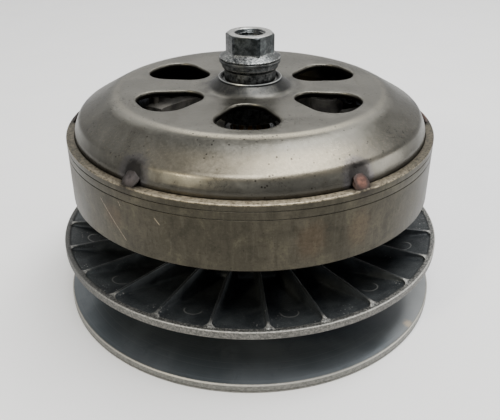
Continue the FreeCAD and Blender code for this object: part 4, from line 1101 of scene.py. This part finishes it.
def lower_finish():
    """Belt-polished dark grey face with a turned rim, painted light on its right side and a painted
    highlight spot by the rim.
    """
    f = Finish("sheave_steel", 0.7)
    cloud = f.noise(0.03, 3, 0.55, 0.3)
    f.colour = f.mix(f.band(cloud, 0.35, 0.65), (80, 86, 90), (100, 105, 109))
    rings = f.noise(1, 4, 0.7, at=f.combine(f.times(f.radius, 2.4), f.times(f.z, 2.4), 0))
    f.over((118, 122, 125), f.band(rings, 0.48, 0.7), 0.3)
    smudge = f.noise(0.12, 5, 0.7, 0.6, at=f.stretch(1, 1, 2))
    f.over((64, 68, 72), f.band(smudge, 0.52, 0.72), 0.35)
    lit = f.both(f.band(f.around_axis(), 34, 66), f.band(f.around_axis(), 150, 120))
    f.over((150, 152, 152), lit, 0.8)
    # painted highlight: a ragged warm bright spot by the rim, on the right
    x, y = polar(FIXED_R - 1.6, from_front(54.5))
    away = f.vector("DISTANCE", f.combine(f.x, f.y, 0), (x, y, 0))
    ragged = f.plus(away, f.times(f.noise(0.5, 5, 0.8), 4))
    f.over((196, 178, 150), f.band(ragged, 5.2, 2.6), 0.6)
    rim = f.beyond(FIXED_R - 0.9, FIXED_R - 0.5)
    grain = f.band(f.noise(0.9, 5, 0.8), 0.34, 0.66)
    f.over(f.mix(grain, (92, 92, 88), (132, 131, 125)), rim)
    crest = f.both(
        f.stripe(f.z, FIXED_FOOT_Z + 3.75, 0.1, 0.22), f.beyond(FIXED_R - 0.8, FIXED_R - 0.4)
    )
    f.over((176, 173, 165), crest, 0.8)
    line = f.both(
        f.stripe(f.z, FIXED_FOOT_Z + 1.2, 0.1, 0.2), f.beyond(FIXED_R - 0.3, FIXED_R - 0.1)
    )
    f.over((44, 43, 40), line, 0.7)
    under = f.band(f.noise(0.8, 6, 0.8), 0.32, 0.7)
    slope = f.times(f.minus(FIXED_R, f.radius), SHEAVE_SLOPE)
    back = f.both(f.band(f.minus(f.z, slope), 2.6, 1.8), f.beyond(FIXED_R - 1, FIXED_R - 2))
    f.over(f.mix(under, (58, 57, 54), (84, 82, 77)), back)
    rough = f.level(f.band(smudge, 0.35, 0.7), 0.3, 0.4)
    rough = f.level(rim, rough, 0.48)
    rough = f.level(back, rough, 0.55)
    f.bump(rings, 0.15, 0.04)
    f.bump(f.both(grain, rim), 0.35, 0.1)
    return f.done(rough)


def nut_finish():
    """Blackened steel with rubbed chamfers, corners and flange edge; painted light on the left and
    right faces and a painted highlight on the flange cone's front.
    """
    f = Finish("nut_steel", 0.9)
    patch = f.noise(0.45, 4, 0.65)
    fine = f.noise(1.6, 5, 0.75)
    f.colour = f.mix(f.band(patch, 0.38, 0.7), (30, 33, 34), (62, 66, 67))
    worn = f.band(f.noise(1.2, 4, 0.75), 0.36, 0.58)
    f.over((168, 168, 166), f.edges(0.35), worn, 0.85)
    crown = f.above(NUT_TOP - 0.4, NUT_TOP - 0.1)
    f.over((178, 178, 175), crown, f.level(worn, 0.45, 1))
    # painted light: a streaky lighter tone on the right faces
    right_sheen_streaks = f.noise(
        1, 4, 0.8, 0.6, at=f.combine(f.times(f.z, 0.5), f.times(f.x, 1.4), f.times(f.y, 1.4))
    )
    right = f.band(f.x, 0.5, 4.5)
    f.over((96, 97, 96), f.band(right_sheen_streaks, 0.54, 0.66), right, 0.4)
    # painted light: lighter patches on the left faces
    left = f.band(f.x, -5.2, -7.4)
    f.over((96, 98, 99), f.band(patch, 0.4, 0.62), left, 0.4)
    cone = f.both(
        f.above(WASHER_TOP + 0.7, WASHER_TOP + 0.95), f.above(WASHER_TOP + 3.4, WASHER_TOP + 2.6)
    )
    grit = f.band(f.noise(1.1, 5, 0.85), 0.4, 0.66)
    # gritty wear on the flange cone, brightened towards the front as a painted highlight
    near = f.band(f.absolute(f.plus(f.around_axis(), 12)), 78, 18)
    f.over((186, 188, 186), cone, grit, f.level(near, 0.15, 0.85))
    wall = f.both(f.beyond(WASHER_R - 0.6, WASHER_R - 0.3), f.band(grit, 0.5, 0.8))
    f.over((190, 191, 188), wall, 0.8)
    rough = f.level(f.band(fine, 0.3, 0.7), 0.26, 0.44)
    f.bump(fine, 0.45, 0.12)
    f.bump(patch, 0.3, 0.3)
    return f.done(rough)


def machined(name, dark, light, shine, scale=1):
    """Turned or ground metal: fine tool lines, smudges, worn edges and painted shade in the
    corners.
    """
    f = Finish(name, 0.9)
    lines = f.noise(1, 3, 0.7, at=f.combine(f.times(f.radius, 3), f.times(f.z, 3), 0))
    smudge = f.noise(0.2 * scale, 4, 0.65, 0.4)
    f.colour = f.mix(f.band(smudge, 0.34, 0.68), dark, light)
    f.over(light, f.band(lines, 0.5, 0.75), 0.3)
    f.over((205, 203, 196), f.edges(0.4), 0.6)
    # painted shade: darker where ambient occlusion finds corners
    corner_shade = f.band(f.crevices(6), 0.75, 0.35)
    f.over((24, 21, 18), corner_shade, 0.5)
    rough = f.level(f.band(smudge, 0.3, 0.7), shine, shine + 0.16)
    f.bump(lines, 0.2, 0.04)
    f.bump(f.noise(1.4 * scale, 4, 0.7), 0.2, 0.06)
    return f.done(rough)


def cast(name, dark, light):
    """Cast metal: grain, clouds and rubbed edges."""
    f = Finish(name, 0.6)
    grain = f.noise(1.7, 5, 0.75)
    cloud = f.noise(0.12, 4, 0.6, 0.4)
    f.colour = f.mix(f.band(cloud, 0.35, 0.66), dark, light)
    f.over(light, f.band(grain, 0.5, 0.7), 0.4)
    f.over((190, 187, 180), f.edges(0.5), f.band(grain, 0.35, 0.55), 0.6)
    f.bump(grain, 0.6, 0.25)
    return f.done(f.level(grain, 0.45, 0.65))


def moulded(name, dark, light, rough_low=0.5):
    """Rubber, plastic, paint or friction material: fine tooth, slight colour shifts and dust."""
    f = Finish(name, 0)
    tooth = f.noise(3, 5, 0.75)
    cloud = f.noise(0.25, 4, 0.6)
    f.colour = f.mix(f.band(cloud, 0.3, 0.7), dark, light)
    f.over(light, f.band(tooth, 0.55, 0.75), 0.3)
    f.over((150, 146, 138), f.edges(0.3), 0.35)
    f.bump(tooth, 0.5, 0.12)
    return f.done(f.level(tooth, rough_low, rough_low + 0.25))


# --- dressing the pieces ---
def dress(piece, material, body, slot, *nodes):
    piece.data.materials.append(material)
    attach(piece, body)
    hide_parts(*nodes)


def paint(material, slot, *nodes):
    """Gives CAD nodes that stay their finish."""
    for name in nodes:
        node = frame["nodes"][name]
        if not node.material_slots:
            node.data.materials.append(material)
        for place in node.material_slots:
            place.material = material


def build_bell():
    dress(dome_shell(), dome_finish(), "clutch_bell", "plate_steel", "bell_dome_plate")
    dress(drum_wall(), drum_finish(), "clutch_bell", "drum_steel", "bell_drum_ring")
    dress(weld_beads(), weld_finish(), "clutch_bell", "weld_steel", "bell_welds")
    dress(clutch_nut(), nut_finish(), "clutch_bell", "nut_steel", "clutch_nut")
    washer = machined("washer_steel", (40, 42, 43), (82, 84, 84), 0.3)
    dress(flat_washer(), washer, "clutch_bell", "nut_steel", "nut_washer")
    hub = machined("hub_dark_steel", (34, 36, 37), (104, 106, 106), 0.34, scale=3)
    paint(hub, "hub_steel", "bell_hub")


TURNED = (                                   # slot, dark, light, lowest roughness, nodes
    ("bearing_steel", (128, 130, 132), (178, 180, 182), 0.22,
     ("ball_bearing_outer_ring", "ball_bearing_inner_ring", "ball_bearing_balls",
      "needle_bearing_cup", "needle_bearing_rollers")),
    ("cage_brass", (128, 96, 48), (176, 138, 74), 0.32,
     ("ball_bearing_cage", "needle_bearing_cage")),
    ("rivet_steel", (90, 88, 84), (140, 137, 130), 0.4, ("sheave_rivets",)),
    ("spring_steel", (40, 39, 40), (78, 76, 76), 0.35, ("bearing_circlip", "pin_clips")),
    ("hub_steel", (96, 95, 92), (150, 148, 142), 0.3,
     ("driven_hub", "cam_tube", "guide_pins", "guide_roller_1", "guide_roller_2",
      "guide_roller_3", "shoe_pivot_pins", "damper_posts")),
    ("collar_steel", (84, 82, 76), (126, 122, 112), 0.4, ("seal_collar",)),
    ("carrier_steel", (40, 39, 36), (74, 72, 66), 0.42, ("clutch_carrier", "carrier_nut")),
)


def build_pulley():
    dress(lower_sheave(), lower_finish(), "driven_pulley", "sheave_steel", "fixed_sheave")
    dress(upper_sheave(), ribbed_finish(), "movable_face", "cast_sheave", "movable_sheave")
    for slot, dark, light, shine, nodes in TURNED:
        paint(machined(slot, dark, light, shine), slot, *nodes)
    paint(moulded("seat_plastic", (22, 22, 22), (40, 40, 39)), "seat_plastic", "spring_seat")
    rubber = moulded("seal_rubber", (20, 18, 17), (44, 38, 34))
    paint(rubber, "seal_rubber", "ball_bearing_seals", "o_rings", "lip_seals", "damper_rubbers")


def build_clutch():
    shoe = cast("shoe_casting", (92, 90, 86), (136, 132, 125))
    lining = moulded("lining", (50, 44, 37), (96, 84, 68), 0.65)
    coil = machined("spring_blue_grey", (52, 54, 60), (96, 98, 104), 0.32)
    for index in range(1, SHOES + 1):
        paint(shoe, "shoe_casting", f"clutch_shoe_{index}")
        paint(lining, "lining", f"shoe_lining_{index}")
        piece, start, end = shoe_coil(index)
        piece.data.materials.append(coil)
        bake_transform(piece)
        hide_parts(f"shoe_spring_{index}")
    spring = main_coil()
    painted = moulded("spring_paint", (34, 38, 44), (62, 66, 72), 0.35)
    dress(spring, painted, "driven_pulley", "spring_paint", "main_spring")
    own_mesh(spring)


# --- studio ---
FLOOR_HALF, FLOOR_NEAR, FLOOR_FAR, FLOOR_SWEEP = 3200, -1800, 2600, 900
SKY_COLOUR, SKY_STRENGTH = (0.97, 0.98, 1, 1), 0.55
LAMPS = (                                    # name, place, size, power, colour
    ("overhead", (0.2, -0.12, 1.1), (1.5, 0.4), 21, (1, 1, 1)),
    ("behind", (0, 1.3, 1.1), (2, 0.5), 9, (1, 0.99, 0.95)),
    ("front_left", (-0.68, -0.81, 0.65), (0.15, 0.15), 5, (1, 0.9, 0.66)),
    ("right", (1, -0.1, 0.2), (0.6, 0.3), 3.5, (1, 0.98, 0.95)),
)
CAMERA_LENS, CAMERA_SENSOR = 47.25, 36
CAMERA_AIM, CAMERA_ELEVATION, CAMERA_DISTANCE = 0.0335, 28.98, 0.31196


def floor():
    """Pale floor that sweeps up into a backdrop far behind."""
    corners = [(FLOOR_NEAR, 0), (FLOOR_FAR, 0, FLOOR_SWEEP), (FLOOR_FAR, FLOOR_FAR)]
    path = rounded(corners, step=6)
    points, faces = [], []
    for y, z in path:
        points += [(-FLOOR_HALF, y, z), (FLOOR_HALF, y, z)]
    for i in range(len(path) - 1):
        faces.append((2 * i, 2 * i + 1, 2 * i + 3, 2 * i + 2))
    piece = new_piece("studio_floor", points, faces)
    f = Finish("studio_paper", 0, 0.2)
    cloud = f.noise(0.02, 3)
    f.colour = f.mix(cloud, (238, 238, 238), (244, 244, 244))
    piece.data.materials.append(f.done(f.level(cloud, 0.8, 0.9)))


def softbox(name, place, aim, size, power, colour):
    light = bpy.data.lights.new(name, "AREA")
    light.shape = "RECTANGLE"
    light.size, light.size_y = size
    light.energy = power
    light.color = colour
    lamp = bpy.data.objects.new(name, light)
    bpy.context.scene.collection.objects.link(lamp)
    lamp.location = place
    lamp.rotation_euler = (Vector(aim) - Vector(place)).to_track_quat("-Z", "Y").to_euler()


def studio():
    world = bpy.data.worlds.new("studio_world")
    world.use_nodes = True
    sky = world.node_tree.nodes["Background"]
    sky.inputs["Color"].default_value = SKY_COLOUR
    sky.inputs["Strength"].default_value = SKY_STRENGTH
    bpy.context.scene.world = world
    middle = (0, 0, DRUM_TOP * MM)
    for name, place, size, power, colour in LAMPS:
        softbox(name, place, middle, size, power, colour)


def camera():
    elevation = math.radians(CAMERA_ELEVATION)
    data = bpy.data.cameras.new("photo_camera")
    data.lens = CAMERA_LENS
    data.sensor_width = CAMERA_SENSOR
    eye = bpy.data.objects.new("photo_camera", data)
    bpy.context.scene.collection.objects.link(eye)
    height = CAMERA_AIM + CAMERA_DISTANCE * math.sin(elevation)
    eye.location = (0, -CAMERA_DISTANCE * math.cos(elevation), height)
    eye.rotation_euler = (math.pi / 2 - elevation, 0, 0)
    bpy.context.scene.camera = eye


build_bell()
build_pulley()
build_clutch()
floor()
studio()
camera()

bpy.context.view_layer.update()
